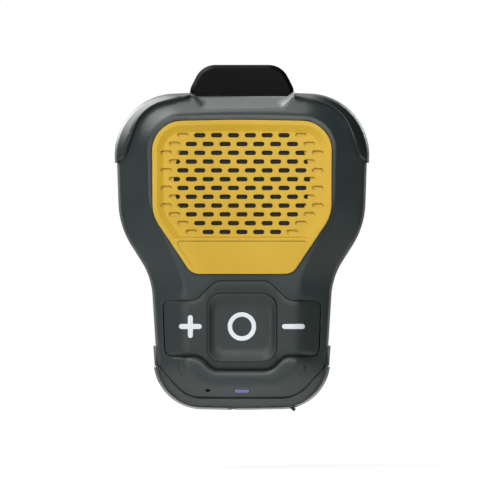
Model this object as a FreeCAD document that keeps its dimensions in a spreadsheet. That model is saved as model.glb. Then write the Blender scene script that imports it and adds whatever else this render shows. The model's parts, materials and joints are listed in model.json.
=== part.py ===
# Clip-on speaker, worn on a strap or pocket: one driver behind a slotted plate, three keys,
# a rubber-edged housing, a spring clip behind it and a magnet foot on the clip.
# Every piece is drawn lying on its back: x runs across, y up the body and z forward, from
# the magnet face to the front. Its Placement then stands the piece upright.
import FreeCAD, Part
import Sketcher
import math
import os
from types import SimpleNamespace

V = FreeCAD.Vector
doc = FreeCAD.newDocument("clip_speaker")

# Driving sizes in millimetres. A name in _level is a height forward of the magnet face,
# names in _up and _down are measured from the middle of the body.
driving = {
    # levels through the depth
    "arm_back_level": 1.0,
    "back_level": 10.4,
    "parting_level": 18.6,
    "shoulder_level": 26.0,
    "face_level": 32.0,
    # outline of the housing
    "top_up": 42.0,
    "crown_radius": 300.0,
    "crown_fall": 1.1,
    "base_radius": 200.0,
    "shoulder_half": 33.95,
    "shoulder_round": 15.7,
    "flank_half": 32.75,
    "flank_up": 6.5,
    "flank_round": 22.0,
    "waist_half": 24.19,
    "waist_down": 7.0,
    "waist_round": 19.0,
    "foot_half": 22.05,
    "foot_round": 12.2,
    "foot_rise": 0.4,
    "bottom_down": 41.75,
    # front facets, from the housing's outline to the edge of the flat face
    "facet_top": 4.9,
    "facet_shoulder": 8.05,
    "facet_corner": 4.7,
    "facet_flank": 7.35,
    "facet_flank_rise": 6.0,
    "facet_waist": 7.89,
    "facet_waist_drop": 0.8,
    "facet_foot": 6.45,
    "facet_bottom": 5.45,
    "face_corner_round": 9.5,
    "face_side_round": 14.0,
    "face_foot_round": 8.5,
    "side_draft": 0.6,
    "shoulder_fillet": 2.2,
    "edge_drop": 0.6,
    "edge_run": 0.6,
    # walls
    "front_wall": 2.0,
    "side_wall": 2.0,
    "back_wall": 1.8,
    "inner_shoulder_drop": 1.0,
    "inner_face_inset": 1.5,
    # rear shell
    "back_draft": 0.8,
    "back_bevel": 4.4,
    "back_edge_level": 14.5,
    "back_fillet": 3.0,
    # slotted plate
    "plate_band": 1.95,
    "plate_top_band": 2.2,
    "plate_corner_band": 1.8,
    "plate_corner_round": 8.0,
    "plate_flank_half": 23.8,
    "plate_flank_up": 9.4,
    "plate_flank_round": 10.0,
    "plate_foot_half": 13.4,
    "plate_foot_down": 6.2,
    "plate_foot_round": 3.8,
    "plate_proud": 0.6,
    "plate_rim": 1.2,
    "plate_bevel": 1.8,
    "panel_drop": 0.9,
    "panel_low_edge_up": 3.4,
    "plate_seat_depth": 2.6,
    "plate_gap": 0.1,
    "plate_floor": 1.6,
    "well_wall": 1.2,
    "web_thickness": 0.6,
    "slot_length": 2.96,
    "slot_width": 1.17,
    "slot_pitch": 4.485,
    "slot_row_pitch": 2.34,
    "slot_first_up": 30.72,
    "slot_rows": 12,
    "sound_radius": 18.1,
    "sound_top_up": 32.3,
    "mesh_thickness": 0.3,
    # driver
    "driver_up": 18.8,
    "flange_radius": 18.3,
    "flange_thickness": 1.2,
    "gasket_thickness": 0.6,
    "mouth_radius": 16.8,
    "ear_reach": 20.0,
    "ear_radius": 2.3,
    "ear_screw_radius": 0.8,
    "driver_depth": 13.0,
    "basket_back_radius": 11.5,
    "basket_wall": 1.0,
    "magnet_radius": 11.5,
    "magnet_bore": 6.0,
    "magnet_thickness": 2.4,
    "yoke_thickness": 1.4,
    "yoke_radius": 11.0,
    "pole_radius": 4.4,
    "top_plate_thickness": 1.5,
    "top_plate_bore": 5.3,
    "coil_inner_radius": 4.7,
    "coil_wall": 0.3,
    "coil_length": 5.6,
    "coil_lift": 1.6,
    "cone_outer_radius": 13.6,
    "cone_paper": 0.4,
    "cone_rise": 3.6,
    "surround_roll": 1.4,
    "surround_sheet": 0.4,
    "spider_sheet": 0.4,
    "spider_outer_radius": 10.6,
    # keypad
    "collar_half": 7.0,
    "collar_up_edge_down": 8.0,
    "collar_low_half": 7.6,
    "collar_low_edge_down": 31.7,
    "wing_half": 21.2,
    "wing_low_half": 20.6,
    "wing_top_down": 13.3,
    "wing_bottom_down": 28.0,
    "pad_round": 4.0,
    "wing_round": 1.8,
    "key_gap": 0.25,
    "key_thickness": 1.4,
    "key_travel": 0.5,
    "key_split_gap": 0.35,
    "centre_key_half": 9.3,
    "centre_key_top_down": 11.3,
    "centre_key_bottom_down": 29.6,
    "centre_key_round": 3.5,
    "centre_key_proud": 1.1,
    "dish_side": 1.7,
    "dish_top": 2.6,
    "dish_bottom": 3.7,
    "dish_depth": 0.8,
    "dish_rim": 0.5,
    "mat_thickness": 1.2,
    "mat_half": 11.7,
    "mark_x": 13.72,
    "mark_down": 20.18,
    "mark_length": 6.1,
    "mark_stroke": 1.37,
    "mark_depth": 0.5,
    "mark_proud": 0.03,
    "ring_outer_radius": 3.8,
    "ring_inner_radius": 2.6,
    "stem_half": 1.7,
    "stem_gap": 0.4,
    # board and what is on it
    "board_front_level": 24.8,
    "board_thickness": 1.0,
    "board_gap": 0.6,
    "board_top_down": 3.5,
    "board_screw_x": 20.3,
    "board_screw_down": 8.2,
    "board_screw_low_down": 34.4,
    "board_screw_radius": 0.7,
    "board_boss_radius": 1.7,
    "board_boss_height": 2.6,
    "module_x": 11.0,
    "module_down": 12.0,
    "module_width": 12.0,
    "module_height": 9.0,
    "module_thickness": 1.8,
    "chip_x": 4.0,
    "chip_down": 10.0,
    "chip_side": 5.0,
    "chip_thickness": 1.0,
    "plug_x": 12.0,
    "plug_width": 5.0,
    "plug_height": 3.6,
    "plug_thickness": 3.0,
    "lamp_width": 1.6,
    "lamp_height": 0.8,
    "lamp_thickness": 0.7,
    "mic_width": 3.0,
    "mic_height": 2.0,
    "mic_thickness": 1.0,
    "pipe_gap": 0.04,
    "switch_side": 5.2,
    "switch_body": 1.5,
    "plunger_radius": 1.25,
    "plunger_gap": 0.1,
    "plunger_proud": 0.7,
    "light_down": 37.4,
    "light_length": 4.0,
    "light_width": 0.97,
    "mic_x": 9.1,
    "mic_down": 37.2,
    "mic_hole_length": 1.3,
    "mic_hole_width": 0.8,
    "socket_x": 6.0,
    "socket_width": 9.0,
    "socket_height": 3.2,
    "socket_length": 7.3,
    "socket_wall": 0.3,
    "tongue_half": 3.3,
    "tongue_thickness": 0.7,
    # battery
    "cell_width": 34.0,
    "cell_height": 21.0,
    "cell_thickness": 7.0,
    "cell_top_down": 6.6,
    "foam_thickness": 0.4,
    "rib_height": 4.0,
    "rib_thickness": 1.0,
    "rib_gap": 0.3,
    "lead_radius": 0.5,
    "lead_spacing": 1.8,
    "speaker_lead_x": 7.0,
    "speaker_lead_bend": 4.0,
    # case screws and seal
    "case_screw_x_top": 24.3,
    "case_screw_up_top": 31.3,
    "case_screw_x_mid": 25.6,
    "case_screw_up_mid": 9.0,
    "case_screw_x_low": 14.6,
    "case_screw_down_low": 31.2,
    "screw_radius": 1.0,
    "screw_head_radius": 2.0,
    "screw_head_height": 1.3,
    "screw_head_gap": 0.3,
    "boss_radius": 2.4,
    "screw_sink": 2.2,
    "seal_inset": 0.65,
    "seal_width": 0.8,
    "seal_depth": 0.6,
    "seal_gap": 0.05,
    # rubber bumpers
    "bumper_proud": 0.6,
    "bumper_foot_proud": 0.8,
    "bumper_lift": 0.55,
    "bumper_back_gap": 0.4,
    "bumper_fillet": 2.4,
    "bumper_corner_x": 26.1,
    "bumper_corner_up": 37.5,
    "bumper_corner_round": 10.0,
    "bumper_end_x": 30.7,
    "bumper_end_up": 24.7,
    "bumper_end_round": 2.5,
    "bumper_end_lean": 0.467,
    "foot_edge_corner_x": 14.5,
    "foot_edge_down": 39.4,
    "foot_edge_round": 9.0,
    "foot_edge_end_x": 22.6,
    "foot_edge_end_down": 30.7,
    "grip_top_down": 24.3,
    "grip_bottom_down": 30.3,
    # thumb recess in the top edge
    "recess_front_half": 10.4,
    "recess_crest_half": 12.2,
    "recess_half": 13.9,
    "recess_front_up": 38.1,
    "recess_crest_up": 41.2,
    "recess_front_level": 30.0,
    "recess_crest_level": 20.5,
    "recess_wall_up": 40.7,
    # port cover
    "cover_right_x": 13.2,
    "cover_height": 5.2,
    "cover_sink": 1.1,
    "cover_gap": 0.2,
    "cover_barrel_radius": 0.8,
    "cover_pin_radius": 0.35,
    "cover_pin_gap": 0.05,
    "cover_axis_x": 1.95,
    "cover_axis_down": 41.25,
    "cover_left_gap": 1.55,
    "plug_depth": 1.4,
    "plug_gap": 0.4,
    # clip
    "arm_thickness": 2.2,
    "arm_bottom_down": 28.0,
    "arm_half": 10.6,
    "arm_bottom_round": 5.0,
    "tab_rise": 7.7,
    "tab_half": 13.9,
    "tab_corner_half": 10.6,
    "tab_round": 5.7,
    "tab_side_up": 43.3,
    "tab_back_level": 3.9,
    "tab_thickness": 3.2,
    "tab_chamfer": 1.0,
    "pull_tab_length": 2.4,
    "pull_tab_thickness": 0.9,
    "pull_tab_half": 1.6,
    "pull_tab_notch": 1.6,
    "tab_bend_up": 38.0,
    "tab_low_up": 40.2,
    "arm_shoulder_up": 25.5,
    "arm_neck_up": 16.0,
    "pivot_up": 29.5,
    "pivot_level": 6.6,
    "pin_radius": 1.1,
    "pin_gap": 0.05,
    "pin_fit": 0.02,
    "pin_head_radius": 1.8,
    "pin_head": 0.5,
    "lug_inner_x": 8.0,
    "lug_thickness": 2.2,
    "lug_radius": 2.35,
    "ear_gap": 0.25,
    "arm_ear_thickness": 2.5,
    "arm_ear_radius": 2.6,
    "bracket_plate": 1.2,
    "bracket_top_up": 36.5,
    "bracket_bottom_up": 22.2,
    "bracket_screw_x": 5.8,
    "bracket_screw_reach": 5.0,
    "jaw_length": 3.0,
    "jaw_gap": 0.2,
    "grip_thickness": 0.8,
    "grip_half": 10.0,
    "rib_x": 7.6,
    "rib_width": 1.4,
    "arm_rib_height": 1.0,
    "clip_magnet_radius": 5.0,
    "clip_magnet_thickness": 1.6,
    "clip_magnet_up": 14.0,
    "clip_magnet_down": 13.0,
    "magnet_gap": 0.1,
    "spring_wire": 0.9,
    "spring_mean_radius": 2.1,
    "spring_turns": 4.0,
    "spring_pitch": 1.45,
    "spring_leg": 5.5,
    "spring_seat_gap": 0.05,
}

sheet = doc.addObject("Spreadsheet::Sheet", "Sizes")
for row, (name, amount) in enumerate(driving.items(), start=1):
    sheet.set(f"A{row}", name)
    sheet.set(f"B{row}", str(amount))
    sheet.setAlias(f"B{row}", name)
doc.recompute()


# A size carries its amount and its sheet formula, so that one value drives both.
class Size:
    def __init__(self, amount, formula):
        self.amount = amount
        self.formula = formula

    def __float__(self):
        return self.amount

    def __add__(self, other):
        return combined(self, "+", other)

    def __radd__(self, other):
        return combined(other, "+", self)

    def __sub__(self, other):
        return combined(self, "-", other)

    def __rsub__(self, other):
        return combined(other, "-", self)

    def __mul__(self, other):
        return combined(self, "*", other)

    def __rmul__(self, other):
        return combined(other, "*", self)

    def __truediv__(self, other):
        return combined(self, "/", other)

    def __neg__(self):
        return combined(0, "-", self)


def formula_of(value):
    return value.formula if isinstance(value, Size) else repr(float(value))


def combined(left, sign, right):
    a = float(left)
    b = float(right)
    if sign == "+":
        amount = a + b
    elif sign == "-":
        amount = a - b
    elif sign == "*":
        amount = a * b
    else:
        amount = a / b
    return Size(amount, f"({formula_of(left)} {sign} {formula_of(right)})")


size = SimpleNamespace(**{name: Size(float(sheet.get(name)), f"Sizes.{name}") for name in driving})

pieces = []


# Placement of a piece drawn lying down: x stays, y becomes up, z becomes forward.
def stand(item, x=0, y=0, level=0):
    rotation = FreeCAD.Rotation(V(1, 0, 0), 90)
    item.Placement = FreeCAD.Placement(V(float(x), -float(level), float(y)), rotation)
    for path, value in (("x", x), ("y", -1 * level), ("z", y)):
        if isinstance(value, Size):
            item.setExpression(f"Placement.Base.{path}", value.formula)


def new_body(label, x=0, y=0):
    body = doc.addObject("PartDesign::Body", label)
    body.Label = label
    stand(body, x, y)
    pieces.append(body)
    return body


def new_feature(label, shape):
    item = doc.addObject("Part::Feature", label)
    item.Label = label
    item.Shape = shape
    stand(item)
    pieces.append(item)
    return item


# A block by its centre in x and y and its back level.
def block(label, x, y, level, across, tall, deep):
    item = doc.addObject("Part::Box", label)
    item.Label = label
    item.setExpression("Length", formula_of(across))
    item.setExpression("Width", formula_of(tall))
    item.setExpression("Height", formula_of(deep))
    stand(item, x - across / 2, y - tall / 2, level)
    pieces.append(item)
    return item


def new_sketch(body, name, level=0, plane="XY_Plane"):
    drawing = body.newObject("Sketcher::SketchObject", name)
    base = next(item for item in body.Origin.OriginFeatures if item.Role == plane)
    drawing.AttachmentSupport = [(base, "")]
    drawing.MapMode = "FlatFace"
    drawing.AttachmentOffset = FreeCAD.Placement(V(0, 0, float(level)), FreeCAD.Rotation())
    if isinstance(level, Size):
        drawing.setExpression("AttachmentOffset.Base.z", level.formula)
    return drawing


def hold(drawing, kind, value, *where):
    index = drawing.addConstraint(Sketcher.Constraint(kind, *where, float(value)))
    if isinstance(value, Size):
        drawing.setExpression(f"Constraints[{index}]", value.formula)


def hold_point(drawing, geometry, point, x, y):
    hold(drawing, "DistanceX", x, -1, 1, geometry, point)
    hold(drawing, "DistanceY", y, -1, 1, geometry, point)


def draw_circle(drawing, x, y, radius):
    shape = Part.Circle(V(float(x), float(y), 0), V(0, 0, 1), float(radius))
    index = drawing.addGeometry(shape, False)
    hold(drawing, "Radius", radius, index)
    hold_point(drawing, index, 3, x, y)


def draw_polygon(drawing, points):
    first = drawing.GeometryCount
    count = len(points)
    places = [V(float(x), float(y), 0) for x, y in points]
    for index in range(count):
        line = Part.LineSegment(places[index], places[(index + 1) % count])
        drawing.addGeometry(line, False)
    for index in range(count):
        following = (index + 1) % count
        joint = Sketcher.Constraint("Coincident", first + index, 2, first + following, 1)
        drawing.addConstraint(joint)
        hold_point(drawing, first + index, 1, *points[index])


def draw_box(drawing, left, low, right, high):
    draw_polygon(drawing, [(left, low), (right, low), (right, high), (left, high)])


def draw_outline(drawing, corners):
    for edge in outline_curves(corners, 0):
        drawing.addGeometry(edge, False)


def draw_stadium(drawing, x, y, length, width, upright=False):
    for edge in stadium_curves(float(x), float(y), float(length), float(width), upright):
        drawing.addGeometry(edge, False)


def add(body, kind, name, drawing, **options):
    item = body.newObject("PartDesign::" + kind, name)
    item.Profile = drawing
    item.Refine = False
    for key, value in options.items():
        if isinstance(value, Size):
            item.setExpression(key, value.formula)
        else:
            setattr(item, key, value)
    doc.recompute()
    return item


def pad(body, name, drawing, length, **options):
    return add(body, "Pad", name, drawing, Length=length, **options)


# A pocket is checked by volume, because one that points away cuts nothing.
def pocket(body, name, drawing, length, **options):
    before = body.Shape.Volume
    item = add(body, "Pocket", name, drawing, Length=length, **options)
    if item.Shape.Volume > before - 1e-6:
        raise RuntimeError(f"pocket {name} cuts nothing")
    return item


def loft(body, kind, name, drawings):
    item = body.newObject("PartDesign::" + kind, name)
    item.Profile = drawings[0]
    item.Sections = [(drawing, [""]) for drawing in drawings[1:]]
    item.Ruled = True
    doc.recompute()
    return item


def revolve(body, name, points):
    drawing = new_sketch(body, name + "_section", 0, "XZ_Plane")
    draw_polygon(drawing, points)
    item = body.newObject("PartDesign::Revolution", name)
    item.Profile = drawing
    item.ReferenceAxis = (drawing, ["V_Axis"])
    item.Angle = 360
    doc.recompute()
    return item


def edges_at(shape, level, low=-1000.0):
    names = []
    for index, edge in enumerate(shape.Edges, start=1):
        box = edge.BoundBox
        flat = abs(box.ZMin - level) < 1e-4 and abs(box.ZMax - level) < 1e-4
        if flat and box.YMin > low:
            names.append(f"Edge{index}")
    return names


# An outline is a clockwise loop of corners (x, y, round). Only its right half is written.
def mirrored(half):
    half = [(float(x), float(y), float(r)) for x, y, r in half]
    left = [(-x, y, r) for x, y, r in reversed(half) if x > 1e-6]
    return half + left


# Moves every edge of an outline inwards, or outwards where the distance is negative.
def inset(corners, distance):
    distance = float(distance)
    count = len(corners)
    moved = []
    for index, (x, y, radius) in enumerate(corners):
        corner = V(x, y, 0)
        before = V(corners[index - 1][0], corners[index - 1][1], 0)
        after = V(corners[(index + 1) % count][0], corners[(index + 1) % count][1], 0)
        come = (corner - before).normalize()
        leave = (after - corner).normalize()
        inward = V(come.y + leave.y, -come.x - leave.x, 0)
        place = corner + inward * (2 * distance / inward.Length ** 2)
        convex = come.x * leave.y - come.y * leave.x < 0
        moved.append((place.x, place.y, radius - distance if convex else radius + distance))
    return moved


def outline_curves(corners, level):
    count = len(corners)
    bends = []
    for index, (x, y, radius) in enumerate(corners):
        corner = V(x, y, level)
        before = V(corners[index - 1][0], corners[index - 1][1], level)
        after = V(corners[(index + 1) % count][0], corners[(index + 1) % count][1], level)
        back = (before - corner).normalize()
        ahead = (after - corner).normalize()
        half_angle = back.getAngle(ahead) / 2
        reach = radius / math.tan(half_angle)
        middle = (back + ahead).normalize()
        centre = corner + middle * (radius / math.sin(half_angle))
        bends.append((corner + back * reach, centre - middle * radius, corner + ahead * reach))
    curves = []
    for index, (start, middle, end) in enumerate(bends):
        curves.append(Part.Arc(start, middle, end))
        curves.append(Part.LineSegment(end, bends[(index + 1) % count][0]))
    return curves


def outline_wire(corners, level):
    return Part.Wire([curve.toShape() for curve in outline_curves(corners, float(level))])


def prism(corners, low, high):
    face = Part.Face(outline_wire(corners, low))
    return face.extrude(V(0, 0, float(high) - float(low)))


def box(left, low, right, high, back, front):
    left, low, right, high, back, front = [float(n) for n in (left, low, right, high, back, front)]
    return Part.makeBox(right - left, high - low, front - back, V(left, low, back))


def rod(x, y, back, front, radius):
    place = V(float(x), float(y), float(back))
    return Part.makeCylinder(float(radius), float(front) - float(back), place)


def stadium_curves(x, y, length, width, upright=False):
    radius = width / 2
    half = length / 2 - radius
    along = V(0, 1, 0) if upright else V(1, 0, 0)
    side = V(-along.y, along.x, 0)
    centre = V(x, y, 0)
    far = centre + along * half
    near = centre - along * half
    return [
        Part.LineSegment(near - side * radius, far - side * radius),
        Part.Arc(far - side * radius, far + along * radius, far + side * radius),
        Part.LineSegment(far + side * radius, near + side * radius),
        Part.Arc(near + side * radius, near - along * radius, near - side * radius),
    ]


def stadium_prism(x, y, length, width, low, high, upright=False):
    curves = stadium_curves(float(x), float(y), float(length), float(width), upright)
    face = Part.Face(Part.Wire([curve.toShape() for curve in curves]))
    face.translate(V(0, 0, float(low)))
    return face.extrude(V(0, 0, float(high) - float(low)))


# Outlines of the housing, of its flat face, of the slotted plate and of the keypad
shell_outline = mirrored([
    (0, size.top_up, size.crown_radius),
    (size.shoulder_half, size.top_up - size.crown_fall, size.shoulder_round),
    (size.flank_half, size.flank_up, size.flank_round),
    (size.waist_half, -size.waist_down, size.waist_round),
    (size.foot_half, size.foot_rise - size.bottom_down, size.foot_round),
    (0, -size.bottom_down, size.base_radius),
])
face_outline = mirrored([
    (0, size.top_up - size.facet_top, size.crown_radius),
    (size.shoulder_half - size.facet_shoulder, size.top_up - size.crown_fall - size.facet_corner,
     size.face_corner_round),
    (size.flank_half - size.facet_flank, size.flank_up + size.facet_flank_rise,
     size.face_side_round),
    (size.waist_half - size.facet_waist, -size.waist_down - size.facet_waist_drop,
     size.face_side_round),
    (size.foot_half - size.facet_foot, size.foot_rise - size.bottom_down + size.facet_bottom,
     size.face_foot_round),
    (0, size.facet_bottom - size.bottom_down, size.base_radius),
])
plate_outline = mirrored([
    (0, size.top_up - size.facet_top - size.plate_top_band, size.crown_radius),
    (size.shoulder_half - size.facet_shoulder - size.plate_band,
     size.top_up - size.crown_fall - size.facet_corner - size.plate_corner_band,
     size.plate_corner_round),
    (size.plate_flank_half, size.plate_flank_up, size.plate_flank_round),
    (size.plate_foot_half, -size.plate_foot_down, size.plate_foot_round),
])
wing_step = size.wing_top_down - size.collar_up_edge_down
low_wing_step = size.collar_low_edge_down - size.wing_bottom_down
keypad_outline = mirrored([
    (size.collar_half, -size.collar_up_edge_down, size.pad_round),
    (size.collar_half + wing_step, -size.wing_top_down, size.pad_round),
    (size.wing_half, -size.wing_top_down, size.wing_round),
    (size.wing_low_half, -size.wing_bottom_down, size.wing_round),
    (size.collar_low_half + low_wing_step, -size.wing_bottom_down, size.pad_round),
    (size.collar_low_half, -size.collar_low_edge_down, size.pad_round),
])

# Levels that several pieces share
parting = size.parting_level
shoulder = size.shoulder_level
face = size.face_level
seat = face - size.plate_seat_depth
floor_back = seat - size.plate_floor
inner_face = face - size.front_wall
board_back = size.board_front_level - size.board_thickness
back_inside = size.back_level + size.back_wall
case_screws_top = [(sx * size.case_screw_x_top, size.case_screw_up_top) for sx in (-1, 1)]
case_screws_top += [(sx * size.case_screw_x_mid, size.case_screw_up_mid) for sx in (-1, 1)]
case_screws_low = [(sx * size.case_screw_x_low, -size.case_screw_down_low) for sx in (-1, 1)]
case_screw_places = case_screws_top + case_screws_low
board_screw_places = [(-size.board_screw_x, -size.board_screw_down),
                      (size.board_screw_x, -size.board_screw_down),
                      (0.0, -size.board_screw_low_down)]
ear_offset = size.ear_reach * math.sqrt(0.5)
driver_ears = [(sx * ear_offset, size.driver_up + sy * ear_offset) for sx in (-1, 1) for sy in (-1, 1)]


def outline_sketch(body, name, corners, level):
    drawing = new_sketch(body, name, level)
    draw_outline(drawing, corners)
    return drawing


def outline_pad(body, name, corners, low, high):
    return pad(body, name, outline_sketch(body, name + "_outline", corners, low), high - low)


def box_pad(body, name, left, low, right, high, back, front):
    drawing = new_sketch(body, name + "_outline", back)
    draw_box(drawing, left, low, right, high)
    return pad(body, name, drawing, front - back)


def disc_pad(body, name, places, radius, back, front):
    drawing = new_sketch(body, name + "_circles", back)
    for x, y in places:
        draw_circle(drawing, x, y, radius)
    return pad(body, name, drawing, front - back)


# Round holes drilled from a front level back to a deeper one.
def drill(body, name, places, radius, front, back):
    drawing = new_sketch(body, name + "_circles", front)
    for x, y in places:
        draw_circle(drawing, x, y, radius)
    return pocket(body, name, drawing, front - back)


# The recess for the thumb runs back and up from the facet to its crest.
def recess_section(level):
    run = (size.recess_front_level - level) / (size.recess_front_level - size.recess_crest_level)
    floor = size.recess_front_up + (size.recess_crest_up - size.recess_front_up) * run
    half = size.recess_front_half + (size.recess_crest_half - size.recess_front_half) * run
    lean = (size.recess_wall_up - size.recess_front_up) / (size.recess_half - size.recess_front_half)
    wall = floor + (size.recess_half - half) * lean
    side = size.recess_half
    top = size.top_up + 4
    return [(-half, floor), (half, floor), (side, wall), (side, top), (-side, top), (-side, wall)]


# A hollow form: ruled skins through level outlines, outside and inside, with one rounded edge
def ruled_form(sections):
    wires = [outline_wire(corners, level) for corners, level in sections]
    return Part.makeLoft(wires, True, True)


def rounded_at(form, level, radius):
    rim = [form.Edges[int(name[4:]) - 1] for name in edges_at(form, float(level))]
    return form.makeFillet(float(radius), rim)


def shell_body(label, outside, inside):
    hollow = doc.addObject("Part::Feature", label + "_hollow_form")
    hollow.Shape = outside.cut(inside)
    body = new_body(label)
    body.BaseFeature = hollow
    doc.recompute()
    return body


# Front shell: the hollow form, then seats, bosses and openings
front_outline = inset(shell_outline, size.side_draft)
front_form = rounded_at(ruled_form([
    (shell_outline, parting),
    (front_outline, shoulder),
    (face_outline, face - size.edge_drop),
    (inset(face_outline, size.edge_run), face),
]), shoulder, size.shoulder_fillet)
front_inside = ruled_form([
    (inset(shell_outline, size.side_wall), parting),
    (inset(shell_outline, size.side_wall + size.side_draft), shoulder - size.inner_shoulder_drop),
    (inset(face_outline, size.inner_face_inset), inner_face),
])
front_shell = shell_body("front_shell", front_form, front_inside)
outline_pad(front_shell, "plate_well", inset(plate_outline, -size.well_wall), floor_back,
            inner_face + 0.5)
disc_pad(front_shell, "driver_floor", [(0, size.driver_up)],
         size.flange_radius + 1, floor_back, seat)
box_pad(front_shell, "recess_backing", -size.recess_half - 0.7, size.recess_front_up,
        size.recess_half + 0.7, size.top_up - size.side_wall + 0.5, parting, shoulder + 0.5)
disc_pad(front_shell, "upper_bosses", case_screws_top, size.boss_radius, parting,
         floor_back + 0.8)
disc_pad(front_shell, "lower_bosses", case_screws_low, size.boss_radius, parting,
         inner_face + 0.5)
disc_pad(front_shell, "board_bosses_side", board_screw_places[:2], size.board_boss_radius,
         size.board_front_level, size.board_front_level + size.board_boss_height)
disc_pad(front_shell, "board_boss_low", board_screw_places[2:], size.board_boss_radius,
         size.board_front_level, inner_face + 0.5)
recess_drawings = []
for label, level in (("crest", size.recess_crest_level), ("front", face + 2)):
    drawing = new_sketch(front_shell, "recess_" + label, level)
    draw_polygon(drawing, recess_section(level))
    recess_drawings.append(drawing)
loft(front_shell, "SubtractiveLoft", "thumb_recess", recess_drawings)
drawing = new_sketch(front_shell, "crest_cut_outline", size.recess_crest_level + 0.01)
draw_polygon(drawing, recess_section(size.recess_crest_level))
pocket(front_shell, "crest_cut", drawing, size.recess_crest_level - parting + 0.5)
plate_pocket = inset(plate_outline, -size.plate_gap)
pocket(front_shell, "plate_seat", outline_sketch(front_shell, "seat_outline", plate_pocket, face + 1),
       size.plate_seat_depth + 1)
drill(front_shell, "driver_mouth", [(0, size.driver_up)], size.mouth_radius, seat + 0.5,
      floor_back - 0.5)
pocket(front_shell, "keypad_opening",
       outline_sketch(front_shell, "keypad_outline", keypad_outline, face + 1), 8.5)
drawing = new_sketch(front_shell, "light_and_sound_holes_outline", face + 1)
draw_stadium(drawing, 0, -size.light_down, size.light_length, size.light_width)
draw_stadium(drawing, -size.mic_x, -size.mic_down, size.mic_hole_length, size.mic_hole_width)
pocket(front_shell, "light_and_sound_holes", drawing, face + 1 - size.board_front_level - 0.8)
drill(front_shell, "case_screw_pilots", case_screw_places, size.screw_radius, floor_back - 0.8,
      parting - 0.5)
drill(front_shell, "board_screw_pilots", board_screw_places, size.board_screw_radius,
      size.board_front_level + 2.0, size.board_front_level - 0.5)
drill(front_shell, "driver_screw_pilots", driver_ears, size.ear_screw_radius,
      floor_back + 1.2, floor_back - 0.5)

# Port for the charging lead in the bottom wall, with the seat of its hinged cover
port_level = board_back - size.socket_height / 2
cover_back = port_level - size.cover_height / 2 - size.cover_gap
cover_front = port_level + size.cover_height / 2 + size.cover_gap
cover_seat_down = size.bottom_down - size.cover_sink
below = size.bottom_down + 2
drawing = new_sketch(front_shell, "port_outline", below, "XZ_Plane")
draw_stadium(drawing, size.socket_x, port_level, size.socket_width + 0.6,
             size.socket_height + 0.6)
pocket(front_shell, "port", drawing, size.side_wall + 4)
drawing = new_sketch(front_shell, "cover_seat_outline", below, "XZ_Plane")
draw_box(drawing, -size.cover_axis_x - size.cover_left_gap, cover_back,
         size.cover_right_x + size.cover_gap, cover_front)
pocket(front_shell, "cover_seat", drawing, below - cover_seat_down)
drawing = new_sketch(front_shell, "barrel_groove_outline", below, "XZ_Plane")
draw_box(drawing, -size.cover_axis_x - size.cover_left_gap, cover_back,
         size.cover_barrel_radius + size.cover_gap - size.cover_axis_x, cover_front)
pocket(front_shell, "barrel_groove", drawing,
       below - size.cover_axis_down + size.cover_barrel_radius + size.cover_gap)
drill(front_shell, "cover_pin_hole", [(-size.cover_axis_x, -size.cover_axis_down)],
      size.cover_pin_radius, cover_front + 0.8, parting - 0.5)

# Rear shell: bevelled back half, screw bosses, ribs for the cell and the seal groove
rear_form = rounded_at(ruled_form([
    (inset(shell_outline, size.back_bevel), size.back_level),
    (inset(shell_outline, size.back_draft), size.back_edge_level),
    (shell_outline, parting),
]), size.back_edge_level, size.back_fillet)
rear_inside = ruled_form([
    (inset(shell_outline, size.back_bevel + size.back_wall / 2), back_inside),
    (inset(shell_outline, size.side_wall + size.back_draft), size.back_edge_level + size.back_wall / 2),
    (inset(shell_outline, size.side_wall), parting),
])
rear_shell = shell_body("rear_shell", rear_form, rear_inside)
disc_pad(rear_shell, "case_bosses", case_screw_places,
         size.screw_head_radius + size.screw_head_gap + 0.9, back_inside - 0.2, parting)
bracket_middle = (size.bracket_top_up + size.bracket_bottom_up) / 2
bracket_screw_places = [(sx * size.bracket_screw_x, bracket_middle + sy * size.bracket_screw_reach)
                        for sx in (-1, 1) for sy in (-1, 1)]
disc_pad(rear_shell, "bracket_bosses", bracket_screw_places, size.screw_radius + 0.8,
         back_inside - 0.2, back_inside + 1.5)
rib_reach = size.cell_width / 2 - 3
for label, low in (("upper", size.rib_gap - size.cell_top_down),
                   ("lower", -size.cell_top_down - size.cell_height - size.rib_gap
                    - size.rib_thickness)):
    box_pad(rear_shell, label + "_cell_rib", -rib_reach, low, rib_reach, low + size.rib_thickness,
            back_inside - 0.2, back_inside + size.rib_height)
drawing = new_sketch(rear_shell, "crest_cut_outline", parting + 0.01)
draw_polygon(drawing, recess_section(size.recess_crest_level))
pocket(rear_shell, "crest_cut", drawing, parting - size.back_edge_level + 0.5)
drawing = new_sketch(rear_shell, "seal_groove_outline", parting + 0.01)
draw_outline(drawing, inset(shell_outline, size.seal_inset))
draw_outline(drawing, inset(shell_outline, size.seal_inset + size.seal_width))
pocket(rear_shell, "seal_groove", drawing, size.seal_depth + 0.01)
drill(rear_shell, "case_screw_holes", case_screw_places, size.screw_radius + 0.15, parting + 0.5,
      size.back_level - 0.5)
drill(rear_shell, "case_screw_sinks", case_screw_places,
      size.screw_head_radius + size.screw_head_gap, size.back_level + size.screw_sink,
      size.back_level - 0.5)
drill(rear_shell, "bracket_screw_pilots", bracket_screw_places, size.screw_radius,
      back_inside + 1.0, size.back_level - 0.5)

case_seal = new_body("case_seal")
drawing = new_sketch(case_seal, "ring_outline", parting - size.seal_depth)
draw_outline(drawing, inset(shell_outline, size.seal_inset + size.seal_gap))
draw_outline(drawing, inset(shell_outline, size.seal_inset + size.seal_width - size.seal_gap))
pad(case_seal, "ring", drawing, size.seal_depth)


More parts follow.
